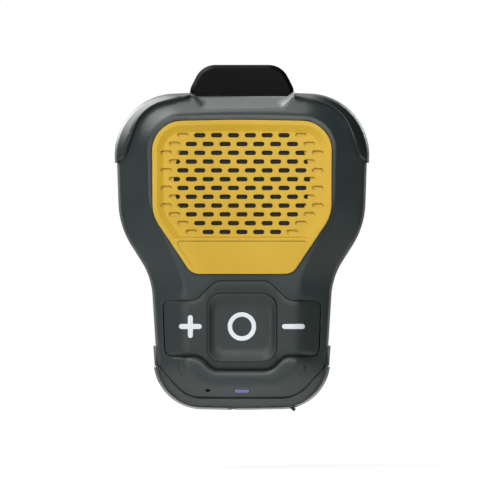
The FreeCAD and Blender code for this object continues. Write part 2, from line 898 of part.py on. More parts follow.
# Pan-head screws that point forward, one solid for each place
def screws(label, places, radius, head_radius, head_height, head_front, tip):
    solids = []
    for x, y in places:
        shank = rod(x, y, head_front, tip, radius)
        head = rod(x, y, head_front - head_height, head_front, head_radius)
        drive = rod(x, y, head_front - head_height, head_front - head_height * 0.4, radius * 0.7)
        solids.append(head.fuse(shank).cut(drive).removeSplitter())
    return new_feature(label, Part.makeCompound(solids))


screws("case_screws", case_screw_places, size.screw_radius, size.screw_head_radius,
       size.screw_head_height, size.back_level + size.screw_sink, floor_back - 1.2)


# Rubber bumpers: a second skin over the front shell, cut to its regions
def skin(proud):
    sections = [
        (inset(shell_outline, -proud), parting + size.bumper_back_gap),
        (inset(shell_outline, size.side_draft - proud), shoulder + size.bumper_lift),
        (inset(face_outline, -0.5 * proud), face - size.edge_drop + size.bumper_lift),
    ]
    return rounded_at(ruled_form(sections), shoulder + size.bumper_lift, size.bumper_fillet)


def region(corners):
    return prism([(float(x), float(y), float(r)) for x, y, r in corners], parting - 1, face + 3)


sharp = 0.05
far_x = size.shoulder_half + 6
top_region = region([
    (size.recess_half, size.top_up + 6, sharp),
    (far_x, size.top_up + 6, sharp),
    (far_x, size.bumper_end_up - size.bumper_end_lean * (far_x - size.bumper_end_x), sharp),
    (size.bumper_end_x, size.bumper_end_up, size.bumper_end_round),
    (size.bumper_corner_x, size.bumper_corner_up, size.bumper_corner_round),
    (size.recess_half, size.recess_wall_up, sharp),
])
top_right = skin(size.bumper_proud).common(top_region).cut(front_form)
new_feature("top_bumper_right", top_right)
new_feature("top_bumper_left", top_right.mirror(V(0, 0, 0), V(1, 0, 0)))

foot_reach_x = size.foot_edge_end_x - size.foot_edge_corner_x
foot_reach_y = size.foot_edge_down - size.foot_edge_end_down
inside_foot = region(mirrored([
    (size.foot_edge_corner_x + 3 * foot_reach_x, 3 * foot_reach_y - size.foot_edge_down, sharp),
    (size.foot_edge_corner_x, -size.foot_edge_down, size.foot_edge_round),
]))
foot_band = box(-far_x, -size.bottom_down - 4, far_x, -size.foot_edge_end_down, parting, face + 3)
cover_window = box(-size.cover_axis_x - size.cover_left_gap, -below,
                   size.cover_right_x + size.cover_gap, -cover_seat_down, parting, cover_front)
tab_notch = box(size.cover_right_x, -below, size.cover_right_x + size.pull_tab_notch,
                -cover_seat_down, port_level - size.pull_tab_half - size.cover_gap,
                port_level + size.pull_tab_half + size.cover_gap)
pin_bore = rod(-size.cover_axis_x, -size.cover_axis_down, parting, cover_front + 0.8,
               size.cover_pin_radius)
foot_skin = skin(size.bumper_foot_proud)
foot = foot_skin.common(foot_band).cut(inside_foot).cut(front_form)
foot = foot.cut(cover_window.fuse([tab_notch, pin_bore]))
new_feature("bottom_bumper", foot)

grip_skin = skin(size.bumper_foot_proud - 0.1)
for sign, label in ((-1, "left"), (1, "right")):
    edges_x = sorted((sign * float(far_x), sign * 18.0))
    band = box(edges_x[0], -size.grip_bottom_down, edges_x[1], -size.grip_top_down,
               parting + 0.9, shoulder - 1.2)
    new_feature("side_grip_" + label, grip_skin.common(band).cut(front_form))

# Slotted plate over the driver: a rim, a bevel down to the panel and rows of slots
slotted_plate = new_body("slotted_plate")
plate_front = face + size.plate_proud
panel_level = plate_front - size.panel_drop
outline_pad(slotted_plate, "plate", plate_outline, seat, plate_front)


# Half width of the plate's slanted lower sides at a height
def plate_side(up):
    slant = (size.plate_flank_half - size.plate_foot_half) / (size.plate_flank_up
                                                              + size.plate_foot_down)
    return size.plate_foot_half + (up + size.plate_foot_down) * slant


def upper_plate(low_edge):
    return plate_outline[:3] + [(float(plate_side(low_edge)), float(low_edge), 2.2)] + [
        (-float(plate_side(low_edge)), float(low_edge), 2.2)] + plate_outline[5:]


def plate_part(high_edge, low_edge, high_round, low_round):
    return mirrored([(plate_side(high_edge), high_edge, high_round),
                     (plate_side(low_edge), low_edge, low_round)])


dish_inset = size.plate_rim + size.plate_bevel
dish_edge = inset(upper_plate(size.panel_low_edge_up - size.plate_rim), size.plate_rim)
dish_floor = inset(upper_plate(size.panel_low_edge_up + 0.4 - dish_inset), dish_inset)
loft(slotted_plate, "SubtractiveLoft", "panel_dish", [
    outline_sketch(slotted_plate, "dish_edge", dish_edge, plate_front),
    outline_sketch(slotted_plate, "dish_floor", dish_floor, panel_level),
])
lower_panel = inset(plate_part(size.panel_low_edge_up - 0.8 + size.plate_rim, -size.plate_foot_down,
                               size.plate_rim + 0.8, size.plate_foot_round), size.plate_rim)
pocket(slotted_plate, "lower_panel",
       outline_sketch(slotted_plate, "lower_panel_outline", lower_panel, plate_front + 0.1), 0.4)


# Round opening with a flat top, where the plate's upper edge cuts it off
def sound_curves(shrink):
    radius = float(size.sound_radius) - shrink
    top = float(size.sound_top_up) - shrink
    centre = float(size.driver_up)
    half = math.sqrt(radius ** 2 - (top - centre) ** 2)
    left = V(-half, top, 0)
    right = V(half, top, 0)
    return [Part.LineSegment(left, right), Part.Arc(right, V(0, centre - radius, 0), left)]


drawing = new_sketch(slotted_plate, "sound_outline", panel_level - size.web_thickness)
for curve in sound_curves(0.0):
    drawing.addGeometry(curve, False)
pocket(slotted_plate, "sound_opening", drawing, panel_level - size.web_thickness - seat + 0.5)
drawing = new_sketch(slotted_plate, "slots_outline", plate_front + 0.1)
slot_area = Part.Face(outline_wire(inset(dish_floor, 0.5), 0))
slot_count = 0
for row in range(int(size.slot_rows.amount)):
    up = float(size.slot_first_up - row * size.slot_row_pitch)
    shift = 0.5 if row % 2 == 0 else 0.0
    for column in range(-6, 7):
        x = (column + shift) * float(size.slot_pitch)
        if slot_area.isInside(V(x, up, 0), 0.001, True):
            draw_stadium(drawing, x, up, size.slot_length, size.slot_width)
            slot_count += 1
pocket(slotted_plate, "slots", drawing, size.panel_drop + size.web_thickness + 0.15)
print("slots in the plate:", slot_count)

acoustic_mesh = new_body("acoustic_mesh")
drawing = new_sketch(acoustic_mesh, "mesh_outline", panel_level - size.web_thickness
                     - size.mesh_thickness)
for curve in sound_curves(0.15):
    drawing.addGeometry(curve, False)
pad(acoustic_mesh, "mesh", drawing, size.mesh_thickness)

# Driver, turned about its own axis: x in these sections is the radius
flange_front = floor_back - size.gasket_thickness
flange_back = flange_front - size.flange_thickness
yoke_back = flange_front - size.driver_depth
magnet_back = yoke_back + size.yoke_thickness
top_plate_back = magnet_back + size.magnet_thickness
basket_back = top_plate_back + size.top_plate_thickness
lip_level = flange_front - size.surround_sheet
local_ears = [(x, y - size.driver_up) for x, y in driver_ears]


def ring_section(inner, outer, low, high):
    return [(inner, low), (outer, low), (outer, high), (inner, high)]


def revolve_curves(body, name, curves):
    drawing = new_sketch(body, name + "_section", 0, "XZ_Plane")
    for curve in curves:
        drawing.addGeometry(curve, False)
    item = body.newObject("PartDesign::Revolution", name)
    item.Profile = drawing
    item.ReferenceAxis = (drawing, ["V_Axis"])
    item.Angle = 360
    doc.recompute()
    return item


def lines(*points):
    places = [V(float(x), float(y), 0) for x, y in points]
    return [Part.LineSegment(a, b) for a, b in zip(places, places[1:])]


def arc(start, middle, end):
    return Part.Arc(*[V(float(x), float(y), 0) for x, y in (start, middle, end)])


driver_gasket = new_body("driver_gasket", 0, size.driver_up)
revolve(driver_gasket, "ring", ring_section(size.mouth_radius, size.flange_radius, flange_front,
                                            floor_back))
disc_pad(driver_gasket, "ears", local_ears, size.ear_radius, flange_front, floor_back)
drill(driver_gasket, "ear_holes", local_ears, size.ear_screw_radius, floor_back + 0.1,
      flange_front - 0.1)

driver_basket = new_body("driver_basket", 0, size.driver_up)
basket_mouth = size.flange_radius - 2.7
revolve(driver_basket, "basket", [
    (size.flange_radius, flange_back),
    (size.flange_radius, flange_front),
    (size.flange_radius - 1, flange_front),
    (size.flange_radius - 1, lip_level),
    (basket_mouth, lip_level),
    (basket_mouth, flange_back),
    (size.basket_back_radius, basket_back + 0.8),
    (size.spider_outer_radius - 2.6, basket_back + 0.8),
    (size.spider_outer_radius - 2.6, basket_back),
    (size.basket_back_radius + size.basket_wall, basket_back),
    (basket_mouth + size.basket_wall + 0.4, flange_back),
])
disc_pad(driver_basket, "ears", local_ears, size.ear_radius, flange_back, flange_front)
drill(driver_basket, "ear_holes", local_ears, size.ear_screw_radius + 0.05, flange_front + 0.1,
      flange_back - 0.1)
window_reach = (basket_mouth + size.basket_back_radius) / 2 + 0.6
window_places = [(window_reach * math.cos(math.radians(60 * turn)),
                  window_reach * math.sin(math.radians(60 * turn))) for turn in range(6)]
drill(driver_basket, "windows", window_places, 2.0, flange_back - 0.4, basket_back + 0.9)

surround = new_body("surround", 0, size.driver_up)
roll_centre = (size.cone_outer_radius + basket_mouth) / 2 + 0.1
roll_outer = float(size.surround_roll) - 0.2
roll_inner = roll_outer - float(size.surround_sheet)
lip_low = float(lip_level)
lip_high = lip_low + float(size.surround_sheet)
roll_x = float(roll_centre)
roll_foot = math.sqrt(roll_outer ** 2 - float(size.surround_sheet) ** 2)
cone_lip = float(size.cone_outer_radius) - 0.6
flange_lip = float(size.flange_radius) - 1.1
revolve_curves(surround, "roll", [
    *lines((cone_lip, lip_low), (roll_x - roll_inner, lip_low)),
    arc((roll_x - roll_inner, lip_low), (roll_x, lip_low + roll_inner), (roll_x + roll_inner, lip_low)),
    *lines((roll_x + roll_inner, lip_low), (flange_lip, lip_low), (flange_lip, lip_high),
           (roll_x + roll_foot, lip_high)),
    arc((roll_x + roll_foot, lip_high), (roll_x, lip_low + roll_outer), (roll_x - roll_foot, lip_high)),
    *lines((roll_x - roll_foot, lip_high), (cone_lip, lip_high), (cone_lip, lip_low)),
])

cone = new_body("cone", 0, size.driver_up)
coil_outer = size.coil_inner_radius + size.coil_wall
neck_level = lip_level - size.cone_rise - size.cone_paper
revolve(cone, "paper", [
    (coil_outer, neck_level),
    (size.cone_outer_radius - 0.4, lip_level - size.cone_paper),
    (size.cone_outer_radius, lip_level - size.cone_paper),
    (size.cone_outer_radius, lip_level),
    (size.cone_outer_radius - 0.6, lip_level),
    (coil_outer, neck_level + size.cone_paper),
])

voice_coil = new_body("voice_coil", 0, size.driver_up)
coil_low = magnet_back + size.coil_lift
revolve(voice_coil, "coil", ring_section(size.coil_inner_radius, coil_outer, coil_low,
                                         coil_low + size.coil_length))

dust_cap = new_body("dust_cap", 0, size.driver_up)
cap_radius = float(coil_outer) + 1.2
cone_slope = float(size.cone_rise) / float(size.cone_outer_radius - 0.6 - coil_outer)
cap_foot = float(neck_level + size.cone_paper) + 1.2 * cone_slope + 0.05
cap_top = cap_foot + 1.3
cap_sheet = 0.35
cap_flat = 0.6
revolve_curves(dust_cap, "dome", [
    *lines((cap_flat, cap_top - cap_sheet), (0, cap_top - cap_sheet), (0, cap_top),
           (cap_flat, cap_top)),
    arc((cap_flat, cap_top), (cap_radius * 0.52, cap_top - 0.33), (cap_radius, cap_foot)),
    *lines((cap_radius, cap_foot), (cap_radius - 0.5, cap_foot)),
    arc((cap_radius - 0.5, cap_foot), (cap_radius * 0.5, cap_top - cap_sheet - 0.3),
        (cap_flat, cap_top - cap_sheet)),
])

spider = new_body("spider", 0, size.driver_up)
spider_base = float(basket_back) + 0.8
waves = 12
wave_in = float(coil_outer)
wave_out = float(size.spider_outer_radius) - 1.6
ripple = [(wave_in + (wave_out - wave_in) * step / waves,
           spider_base + 0.35 + 0.25 * math.sin(step * math.pi / 2)) for step in range(waves + 1)]
thick = float(size.spider_sheet)
lower = ripple + [(wave_out + 0.4, spider_base), (float(size.spider_outer_radius), spider_base)]
upper = [(x, y + thick) for x, y in reversed(lower)]
revolve_curves(spider, "ripples", lines(*lower, *upper, lower[0]))

top_plate = new_body("top_plate", 0, size.driver_up)
revolve(top_plate, "washer", ring_section(size.top_plate_bore, size.yoke_radius, top_plate_back,
                                          basket_back))
ring_magnet = new_body("ring_magnet", 0, size.driver_up)
revolve(ring_magnet, "ring", ring_section(size.magnet_bore, size.magnet_radius, magnet_back,
                                          top_plate_back))
yoke = new_body("yoke", 0, size.driver_up)
revolve(yoke, "pole", [
    (0, yoke_back),
    (size.yoke_radius, yoke_back),
    (size.yoke_radius, magnet_back),
    (size.pole_radius, magnet_back),
    (size.pole_radius, basket_back),
    (0, basket_back),
])
screws("driver_screws", driver_ears, size.ear_screw_radius, size.ear_screw_radius * 1.9, 0.8,
       flange_back, floor_back + 1.1)

# Keypad: a rubber mat with a collar round the centre key, and three hard key caps
mat_front = inner_face
mat_back = mat_front - size.mat_thickness
mat_low = -size.collar_low_edge_down - 0.35
mat_high = 0.35 - size.collar_up_edge_down
keypad_inside = inset(keypad_outline, size.key_gap)
key_top = -size.centre_key_top_down
key_bottom = -size.centre_key_bottom_down
stem_back = size.board_front_level + size.switch_body + size.plunger_proud
cap_back = mat_front + size.key_travel + 0.1


# Sloping collar block, drawn from the side as (up, level) points
def collar(outer_up, inner_up):
    crest = face + size.centre_key_proud - 0.15
    places = [(outer_up, mat_front - 0.1), (outer_up, face - 0.3), (inner_up, crest),
              (inner_up, mat_front - 0.1)]
    corners = [V(-float(size.centre_key_half), float(y), float(z)) for y, z in places]
    side = Part.Face(Part.makePolygon(corners + corners[:1]))
    return side.extrude(V(2 * float(size.centre_key_half), 0, 0))


collars = collar(0.1 - size.collar_up_edge_down, key_top + size.key_gap)
collars = collars.fuse(collar(-size.collar_low_edge_down - 0.1, key_bottom - size.key_gap))
collars = collars.common(prism(keypad_inside, mat_back, face + 4))
mat_plate = box(-size.mat_half, mat_low, size.mat_half, mat_high, mat_back, mat_front)
stem_hole_half = size.stem_half + size.stem_gap
stem_hole = box(-stem_hole_half, -size.mark_down - stem_hole_half, stem_hole_half,
                stem_hole_half - size.mark_down, mat_back - 1, mat_front + 1)
keypad_mat = mat_plate.cut(stem_hole).fuse(collars).removeSplitter()
new_feature("keypad_mat", keypad_mat)


# A key cap with an even skin under the housing's own surface, and a stem to its switch
def wing_key(label, sign, mark):
    reach = sorted((sign * float(size.centre_key_half + size.key_split_gap), sign * float(far_x)))
    area = box(reach[0], -size.bottom_down, reach[1], 0, parting, face + 3)
    block_form = front_form.common(prism(keypad_inside, parting, face + 3)).common(area)
    under = front_form.translated(V(0, 0, -float(size.key_thickness)))
    x = sign * size.mark_x
    stem = box(x - size.stem_half, -size.mark_down - size.stem_half, x + size.stem_half,
               size.stem_half - size.mark_down, stem_back, face - size.key_thickness + 0.2)
    cap = block_form.cut(under).fuse(stem).cut(mark)
    new_feature(label, cap.removeSplitter())


# Plus and minus signs lie in pockets of the side keys
def sign_prism(x, low, high, plus):
    bar = stadium_prism(x, -size.mark_down, size.mark_length, size.mark_stroke, low, high)
    if plus:
        post = stadium_prism(x, -size.mark_down, size.mark_length, size.mark_stroke, low, high, True)
        bar = bar.fuse(post).removeSplitter()
    return bar


mark_back = face - size.mark_depth
mark_front = face + size.mark_proud
wing_key("volume_up_key", -1, sign_prism(-size.mark_x, mark_back, face + 1, True))
wing_key("volume_down_key", 1, sign_prism(size.mark_x, mark_back, face + 1, False))
new_feature("plus_mark", sign_prism(-size.mark_x, mark_back, mark_front, True))
new_feature("minus_mark", sign_prism(size.mark_x, mark_back, mark_front, False))

centre_key = new_body("centre_key")
centre_outline = mirrored([
    (size.centre_key_half, key_top, size.centre_key_round),
    (size.centre_key_half, key_bottom, size.centre_key_round),
])
centre_front = face + size.centre_key_proud
dish_level = centre_front - size.dish_depth
outline_pad(centre_key, "cap", centre_outline, cap_back, centre_front)
loft(centre_key, "SubtractiveLoft", "dish", [
    outline_sketch(centre_key, "dish_edge", inset(centre_outline, size.dish_rim), centre_front),
    outline_sketch(centre_key, "dish_floor", mirrored([
        (size.centre_key_half - size.dish_side, key_top - size.dish_top, 2.0),
        (size.centre_key_half - size.dish_side, key_bottom + size.dish_bottom, 2.0),
    ]), dish_level),
])
box_pad(centre_key, "stem", -size.stem_half, -size.mark_down - size.stem_half, size.stem_half,
        size.stem_half - size.mark_down, stem_back, cap_back + 0.2)
drawing = new_sketch(centre_key, "ring_seat_outline", dish_level)
draw_circle(drawing, 0, -size.mark_down, size.ring_outer_radius)
draw_circle(drawing, 0, -size.mark_down, size.ring_inner_radius)
pocket(centre_key, "ring_seat", drawing, size.mark_depth)

ring_mark = new_body("ring_mark", 0, -size.mark_down)
revolve(ring_mark, "ring", ring_section(size.ring_inner_radius, size.ring_outer_radius,
                                        dish_level - size.mark_depth, dish_level + size.mark_proud))

# Switches under the keys: a body with a bore, and the plunger that the key's stem pushes
switch_places = [(-size.mark_x, -size.mark_down), (0, -size.mark_down), (size.mark_x, -size.mark_down)]
key_switches = new_body("key_switches")
switch_front = size.board_front_level + size.switch_body
for index, (x, y) in enumerate(switch_places):
    half = size.switch_side / 2
    box_pad(key_switches, f"switch_{index}", x - half, y - half, x + half, y + half,
            size.board_front_level, switch_front)
drill(key_switches, "bores", switch_places, size.plunger_radius + size.plunger_gap,
      switch_front + 0.1, size.board_front_level + 0.2)
for label, (x, y) in zip(("volume_up_plunger", "centre_plunger", "volume_down_plunger"), switch_places):
    plunger = new_body(label)
    disc_pad(plunger, "plunger", [(x, y)], size.plunger_radius,
             size.board_front_level + 0.25 + size.key_travel, stem_back)

# Main board, cut back from the driver and the case bosses
main_board = new_body("main_board")
board_outline = inset(shell_outline, size.side_wall + size.side_draft + size.board_gap)
outline_pad(main_board, "sheet", board_outline, board_back, size.board_front_level)
drawing = new_sketch(main_board, "top_edge_outline", size.board_front_level + 0.1)
draw_box(drawing, -far_x, -size.board_top_down, far_x, size.top_up + 5)
pocket(main_board, "top_edge", drawing, size.board_thickness + 0.2)
drill(main_board, "boss_notches", case_screws_low, size.boss_radius + 0.3,
      size.board_front_level + 0.1, board_back - 0.1)
drill(main_board, "screw_holes", board_screw_places, size.board_screw_radius + 0.1,
      size.board_front_level + 0.1, board_back - 0.1)
screws("board_screws", board_screw_places, size.board_screw_radius,
       size.board_screw_radius * 2, size.board_screw_radius,
       board_back, size.board_front_level + 1.9)
block("radio_module", -size.module_x, -size.module_down, board_back - size.module_thickness,
      size.module_width, size.module_height, size.module_thickness)
block("amplifier_chip", size.chip_x, -size.chip_down, board_back - size.chip_thickness,
      size.chip_side, size.chip_side, size.chip_thickness)
plug_up = 1.0 - size.board_top_down - size.plug_height
block("battery_plug", size.plug_x, plug_up, board_back - size.plug_thickness, size.plug_width,
      size.plug_height, size.plug_thickness)
block("status_led", 0, -size.light_down, size.board_front_level, size.lamp_width, size.lamp_height,
      size.lamp_thickness)
block("microphone", -size.mic_x, -size.mic_down, size.board_front_level, size.mic_width,
      size.mic_height, size.mic_thickness)

light_pipe = stadium_prism(0, -size.light_down, size.light_length - 2 * size.pipe_gap,
                           size.light_width - 2 * size.pipe_gap,
                           size.board_front_level + size.lamp_thickness + 0.3, face + 2)
new_feature("light_pipe", light_pipe.common(front_form))
seal_ring = rod(-size.mic_x, -size.mic_down, size.board_front_level + size.mic_thickness, face,
                size.mic_width / 2)
seal_ring = seal_ring.cut(rod(-size.mic_x, -size.mic_down, parting, face + 1,
                              size.mic_hole_length / 2))
new_feature("microphone_seal", seal_ring.common(front_inside))

usb_socket = new_body("usb_socket")
socket_mouth = size.bottom_down - size.side_wall - 0.45
drawing = new_sketch(usb_socket, "shell_outline", socket_mouth, "XZ_Plane")
draw_stadium(drawing, size.socket_x, port_level, size.socket_width, size.socket_height)
pad(usb_socket, "shell", drawing, size.socket_length, Reversed=True)
drawing = new_sketch(usb_socket, "mouth_outline", socket_mouth, "XZ_Plane")
draw_stadium(drawing, size.socket_x, port_level, size.socket_width - 2 * size.socket_wall,
             size.socket_height - 2 * size.socket_wall)
pocket(usb_socket, "mouth", drawing, size.socket_length - 1)
drawing = new_sketch(usb_socket, "tongue_outline", socket_mouth - size.socket_length + 0.5, "XZ_Plane")
draw_box(drawing, size.socket_x - size.tongue_half, port_level - size.tongue_thickness / 2,
         size.socket_x + size.tongue_half, port_level + size.tongue_thickness / 2)
pad(usb_socket, "tongue", drawing, size.socket_length - 1.9)

# Battery cell on its foam, and its two leads to the plug on the board
cell_low = -size.cell_top_down - size.cell_height
cell_back = back_inside + size.foam_thickness
cell_middle = -size.cell_top_down - size.cell_height / 2
battery_cell = new_body("battery_cell")
drawing = new_sketch(battery_cell, "end_outline", -cell_low, "XZ_Plane")
draw_stadium(drawing, 0, cell_back + size.cell_thickness / 2, size.cell_width, size.cell_thickness)
pad(battery_cell, "cell", drawing, size.cell_height, Reversed=True)
block("battery_foam", 0, cell_middle, back_inside, size.cell_width - size.cell_thickness,
      size.cell_height - 2, size.foam_thickness)


# A tube along straight runs joined by tangent arcs of the given radius
def tube(points, radius, bend):
    places = [V(float(x), float(y), float(z)) for x, y, z in points]
    edges = []
    start = places[0]
    for corner, after in zip(places[1:], places[2:]):
        come = (corner - start).normalize()
        leave = (after - corner).normalize()
        half_turn = come.getAngle(leave) / 2
        reach = bend * math.tan(half_turn)
        first = corner - come * reach
        last = corner + leave * reach
        middle = (leave - come).normalize()
        centre = corner + middle * (bend / math.cos(half_turn))
        edges.append(Part.LineSegment(start, first).toShape())
        edges.append(Part.Arc(first, centre - middle * bend, last).toShape())
        start = last
    edges.append(Part.LineSegment(start, places[-1]).toShape())
    return swept(Part.Wire(edges), radius)


def swept(path, radius):
    start = path.OrderedVertexes[0].Point
    direction = path.OrderedEdges[0].tangentAt(path.OrderedEdges[0].FirstParameter)
    ring = Part.Wire([Part.makeCircle(float(radius), start, direction)])
    shell = Part.BRepOffsetAPI.MakePipeShell(path)
    shell.add(ring)
    shell.build()
    shell.makeSolid()
    return shell.shape()


lead_exit = cell_back + size.cell_thickness / 2 + 1.5
plug_middle = board_back - size.plug_thickness / 2
plug_top = plug_up + size.plug_height / 2
lead_top = plug_top + 3.2
lead_solids = []
for side in (-size.lead_spacing / 2, size.lead_spacing / 2):
    x = size.plug_x + side
    lead_solids.append(tube([(x, -size.cell_top_down, lead_exit), (x, lead_top, lead_exit),
                             (x, lead_top, plug_middle), (x, plug_top, plug_middle)],
                            size.lead_radius, 0.49 * float(plug_middle - lead_exit)))
new_feature("battery_lead", Part.makeCompound(lead_solids))
lead_solids = []
lead_level = flange_back - size.lead_radius
board_landing = -size.board_top_down - 2.0
for x in (-size.speaker_lead_x, size.lead_spacing - size.speaker_lead_x):
    lead_solids.append(tube([(x, size.driver_up - size.flange_radius + 1.8, lead_level),
                             (x, board_landing + 2.4, lead_level),
                             (x, board_landing, size.board_front_level + size.lead_radius)],
                            size.lead_radius, float(size.speaker_lead_bend)))
new_feature("speaker_lead", Part.makeCompound(lead_solids))

# Port cover: a rubber flap that turns on a pin at its left end, with a pull tab at its right
flap_box = box(-size.cover_axis_x, -below - 1, size.cover_right_x, -cover_seat_down - 0.05,
               cover_back + size.cover_gap, cover_front - size.cover_gap)
cover_skin = skin(size.bumper_foot_proud)
flap = cover_skin.common(flap_box)
barrel = rod(-size.cover_axis_x, -size.cover_axis_down, cover_back + size.cover_gap,
             cover_front - size.cover_gap, size.cover_barrel_radius)
plug_height = size.socket_height - 1.0
plug_width = size.socket_width - 0.6 - 2 * size.plug_gap
plug_curves = stadium_curves(float(size.socket_x), float(port_level), float(plug_width),
                             float(plug_height))
plug_face = Part.Face(Part.Wire([curve.toShape() for curve in plug_curves]))
plug_face.rotate(V(0, 0, 0), V(1, 0, 0), 90)
plug_face.translate(V(0, -float(cover_seat_down) - 0.3, 0))
plug = plug_face.extrude(V(0, float(size.plug_depth) + 0.3, 0))
pull_tab = box(0, -size.pull_tab_thickness / 2, size.pull_tab_length, size.pull_tab_thickness / 2,
               port_level - size.pull_tab_half, port_level + size.pull_tab_half)
pull_tab.rotate(V(0, 0, 0), V(0, 0, 1), -40)
pull_tab.translate(V(float(size.cover_right_x) - 0.9, 0.75 - float(size.bottom_down), 0))
cover = flap.fuse([barrel, plug, pull_tab])
cover = cover.cut(rod(-size.cover_axis_x, -size.cover_axis_down, parting, shoulder + 2,
                      size.cover_pin_radius + size.cover_pin_gap))
new_feature("port_cover", cover.removeSplitter())
cover_pin = new_body("cover_pin", -size.cover_axis_x, -size.cover_axis_down)
disc_pad(cover_pin, "pin", [(0, 0)], size.cover_pin_radius, parting + 0.2, cover_front + 0.7)

# Clip bracket on the back: a plate with two lugs for the pin
lug_outer_x = size.lug_inner_x + size.lug_thickness
plate_back = size.back_level - size.bracket_plate
clip_bracket = new_body("clip_bracket")
box_pad(clip_bracket, "plate", -lug_outer_x, size.bracket_bottom_up, lug_outer_x,
        size.bracket_top_up, plate_back, size.back_level)
for label, left in (("left", -lug_outer_x), ("right", size.lug_inner_x)):
    drawing = new_sketch(clip_bracket, label + "_lug_outline", left, "YZ_Plane")
    draw_polygon(drawing, [
        (size.pivot_up - size.lug_radius - 1, plate_back + 0.2),
        (size.pivot_up + size.lug_radius + 1, plate_back + 0.2),
        (size.pivot_up + size.lug_radius, size.pivot_level),
        (size.pivot_up - size.lug_radius, size.pivot_level),
    ])
    pad(clip_bracket, label + "_lug", drawing, size.lug_thickness)
    drawing = new_sketch(clip_bracket, label + "_lug_eye", left, "YZ_Plane")
    draw_circle(drawing, size.pivot_up, size.pivot_level, size.lug_radius)
    pad(clip_bracket, label + "_eye", drawing, size.lug_thickness)
drawing = new_sketch(clip_bracket, "pin_hole_outline", lug_outer_x + 1, "YZ_Plane")
draw_circle(drawing, size.pivot_up, size.pivot_level, size.pin_radius + size.pin_gap)
pocket(clip_bracket, "pin_hole", drawing, 2 * lug_outer_x + 2)
drill(clip_bracket, "screw_holes", bracket_screw_places, size.screw_radius + 0.1,
      size.back_level + 0.1, plate_back - 0.1)
screws("bracket_screws", bracket_screw_places, size.screw_radius, 1.7, 1.0, plate_back,
       back_inside + 0.8)

# Clip arm: one bent plate with a thumb tab above, ears for the pin and a jaw below
arm_front = size.arm_back_level + size.arm_thickness
tab_top = size.top_up + size.tab_rise
tab_front = size.tab_back_level + size.tab_thickness
jaw_tip = size.back_level - size.grip_thickness - size.jaw_gap
arm_ear_x = lug_outer_x + size.ear_gap
tab_outline = mirrored([
    (size.tab_corner_half, tab_top, size.tab_round),
    (size.tab_half, size.tab_side_up, 4.0),
    (size.tab_half - 0.3, size.tab_low_up, 1.6),
])
tab_form = doc.addObject("Part::Feature", "tab_form")
tab_form.Shape = ruled_form([
    (tab_outline, size.tab_back_level),
    (tab_outline, tab_front - size.tab_chamfer),
    (inset(tab_outline, size.tab_chamfer), tab_front),
])
clip_arm = new_body("clip_arm")
clip_arm.BaseFeature = tab_form
drawing = new_sketch(clip_arm, "side_outline", -size.tab_half - 1, "YZ_Plane")
draw_polygon(drawing, [
    (-size.arm_bottom_down, size.arm_back_level),
    (size.tab_bend_up, size.arm_back_level),
    (size.tab_bend_up + 5, size.tab_back_level),
    (size.tab_bend_up + 7, size.tab_back_level),
    (size.tab_bend_up + 7, size.tab_back_level + 1.5),
    (size.tab_bend_up + 4, size.tab_back_level + 1.5),
    (size.tab_bend_up + 0.2, arm_front),
    (size.jaw_length - size.arm_bottom_down, arm_front),
    (size.jaw_length - size.arm_bottom_down, jaw_tip),
    (-size.arm_bottom_down, jaw_tip),
])
pad(clip_arm, "bent_plate", drawing, 2 * size.tab_half + 2)
arm_outline = mirrored([
    (size.tab_corner_half, tab_top, size.tab_round),
    (size.tab_half, size.tab_side_up, 4.0),
    (arm_ear_x + size.arm_ear_thickness + 0.4, size.arm_shoulder_up, 6.0),
    (size.arm_half, size.arm_neck_up, 10.0),
    (size.arm_half, -size.arm_bottom_down, size.arm_bottom_round),
])
drawing = new_sketch(clip_arm, "trim_outline", size.back_level + 5)
draw_box(drawing, -size.tab_half - 6, -size.arm_bottom_down - 6, size.tab_half + 6, tab_top + 6)
draw_outline(drawing, arm_outline)
pocket(clip_arm, "trim", drawing, size.back_level + 10)
for label, left in (("left", -arm_ear_x - size.arm_ear_thickness), ("right", arm_ear_x)):
    drawing = new_sketch(clip_arm, label + "_ear_outline", left, "YZ_Plane")
    draw_polygon(drawing, [
        (size.pivot_up - size.arm_ear_radius - 2, arm_front - 0.2),
        (size.pivot_up - size.arm_ear_radius, size.pivot_level),
        (size.pivot_up + size.arm_ear_radius, size.pivot_level),
        (size.pivot_up + size.arm_ear_radius + 2, arm_front - 0.2),
    ])
    pad(clip_arm, label + "_ear", drawing, size.arm_ear_thickness)
    drawing = new_sketch(clip_arm, label + "_eye_outline", left, "YZ_Plane")
    draw_circle(drawing, size.pivot_up, size.pivot_level, size.arm_ear_radius)
    pad(clip_arm, label + "_eye", drawing, size.arm_ear_thickness)
for sign in (-1, 1):
    x = sign * size.rib_x
    box_pad(clip_arm, f"rib_{'left' if sign < 0 else 'right'}", x - size.rib_width / 2,
            size.jaw_length - size.arm_bottom_down - 0.5, x + size.rib_width / 2,
            size.bracket_bottom_up - 1.5, arm_front - 0.2, arm_front + size.arm_rib_height)
spring_wire_radius = size.spring_wire / 2
spring_leg_level = size.pivot_level - size.spring_mean_radius
leg_seat = spring_leg_level - spring_wire_radius - size.spring_seat_gap
spring_half = (size.spring_turns + 0.5) * size.spring_pitch / 2
box_pad(clip_arm, "spring_seat", spring_half - 1.5, size.pivot_up + 3.0, spring_half + 1.5,
        size.pivot_up + size.spring_leg + 1, arm_front - 0.2, leg_seat)
drawing = new_sketch(clip_arm, "pin_hole_outline", arm_ear_x + size.arm_ear_thickness + 1, "YZ_Plane")
draw_circle(drawing, size.pivot_up, size.pivot_level, size.pin_radius + size.pin_fit)
pocket(clip_arm, "pin_hole", drawing, 2 * (arm_ear_x + size.arm_ear_thickness) + 2)
magnet_places = [(0, size.clip_magnet_up), (0, -size.clip_magnet_down)]
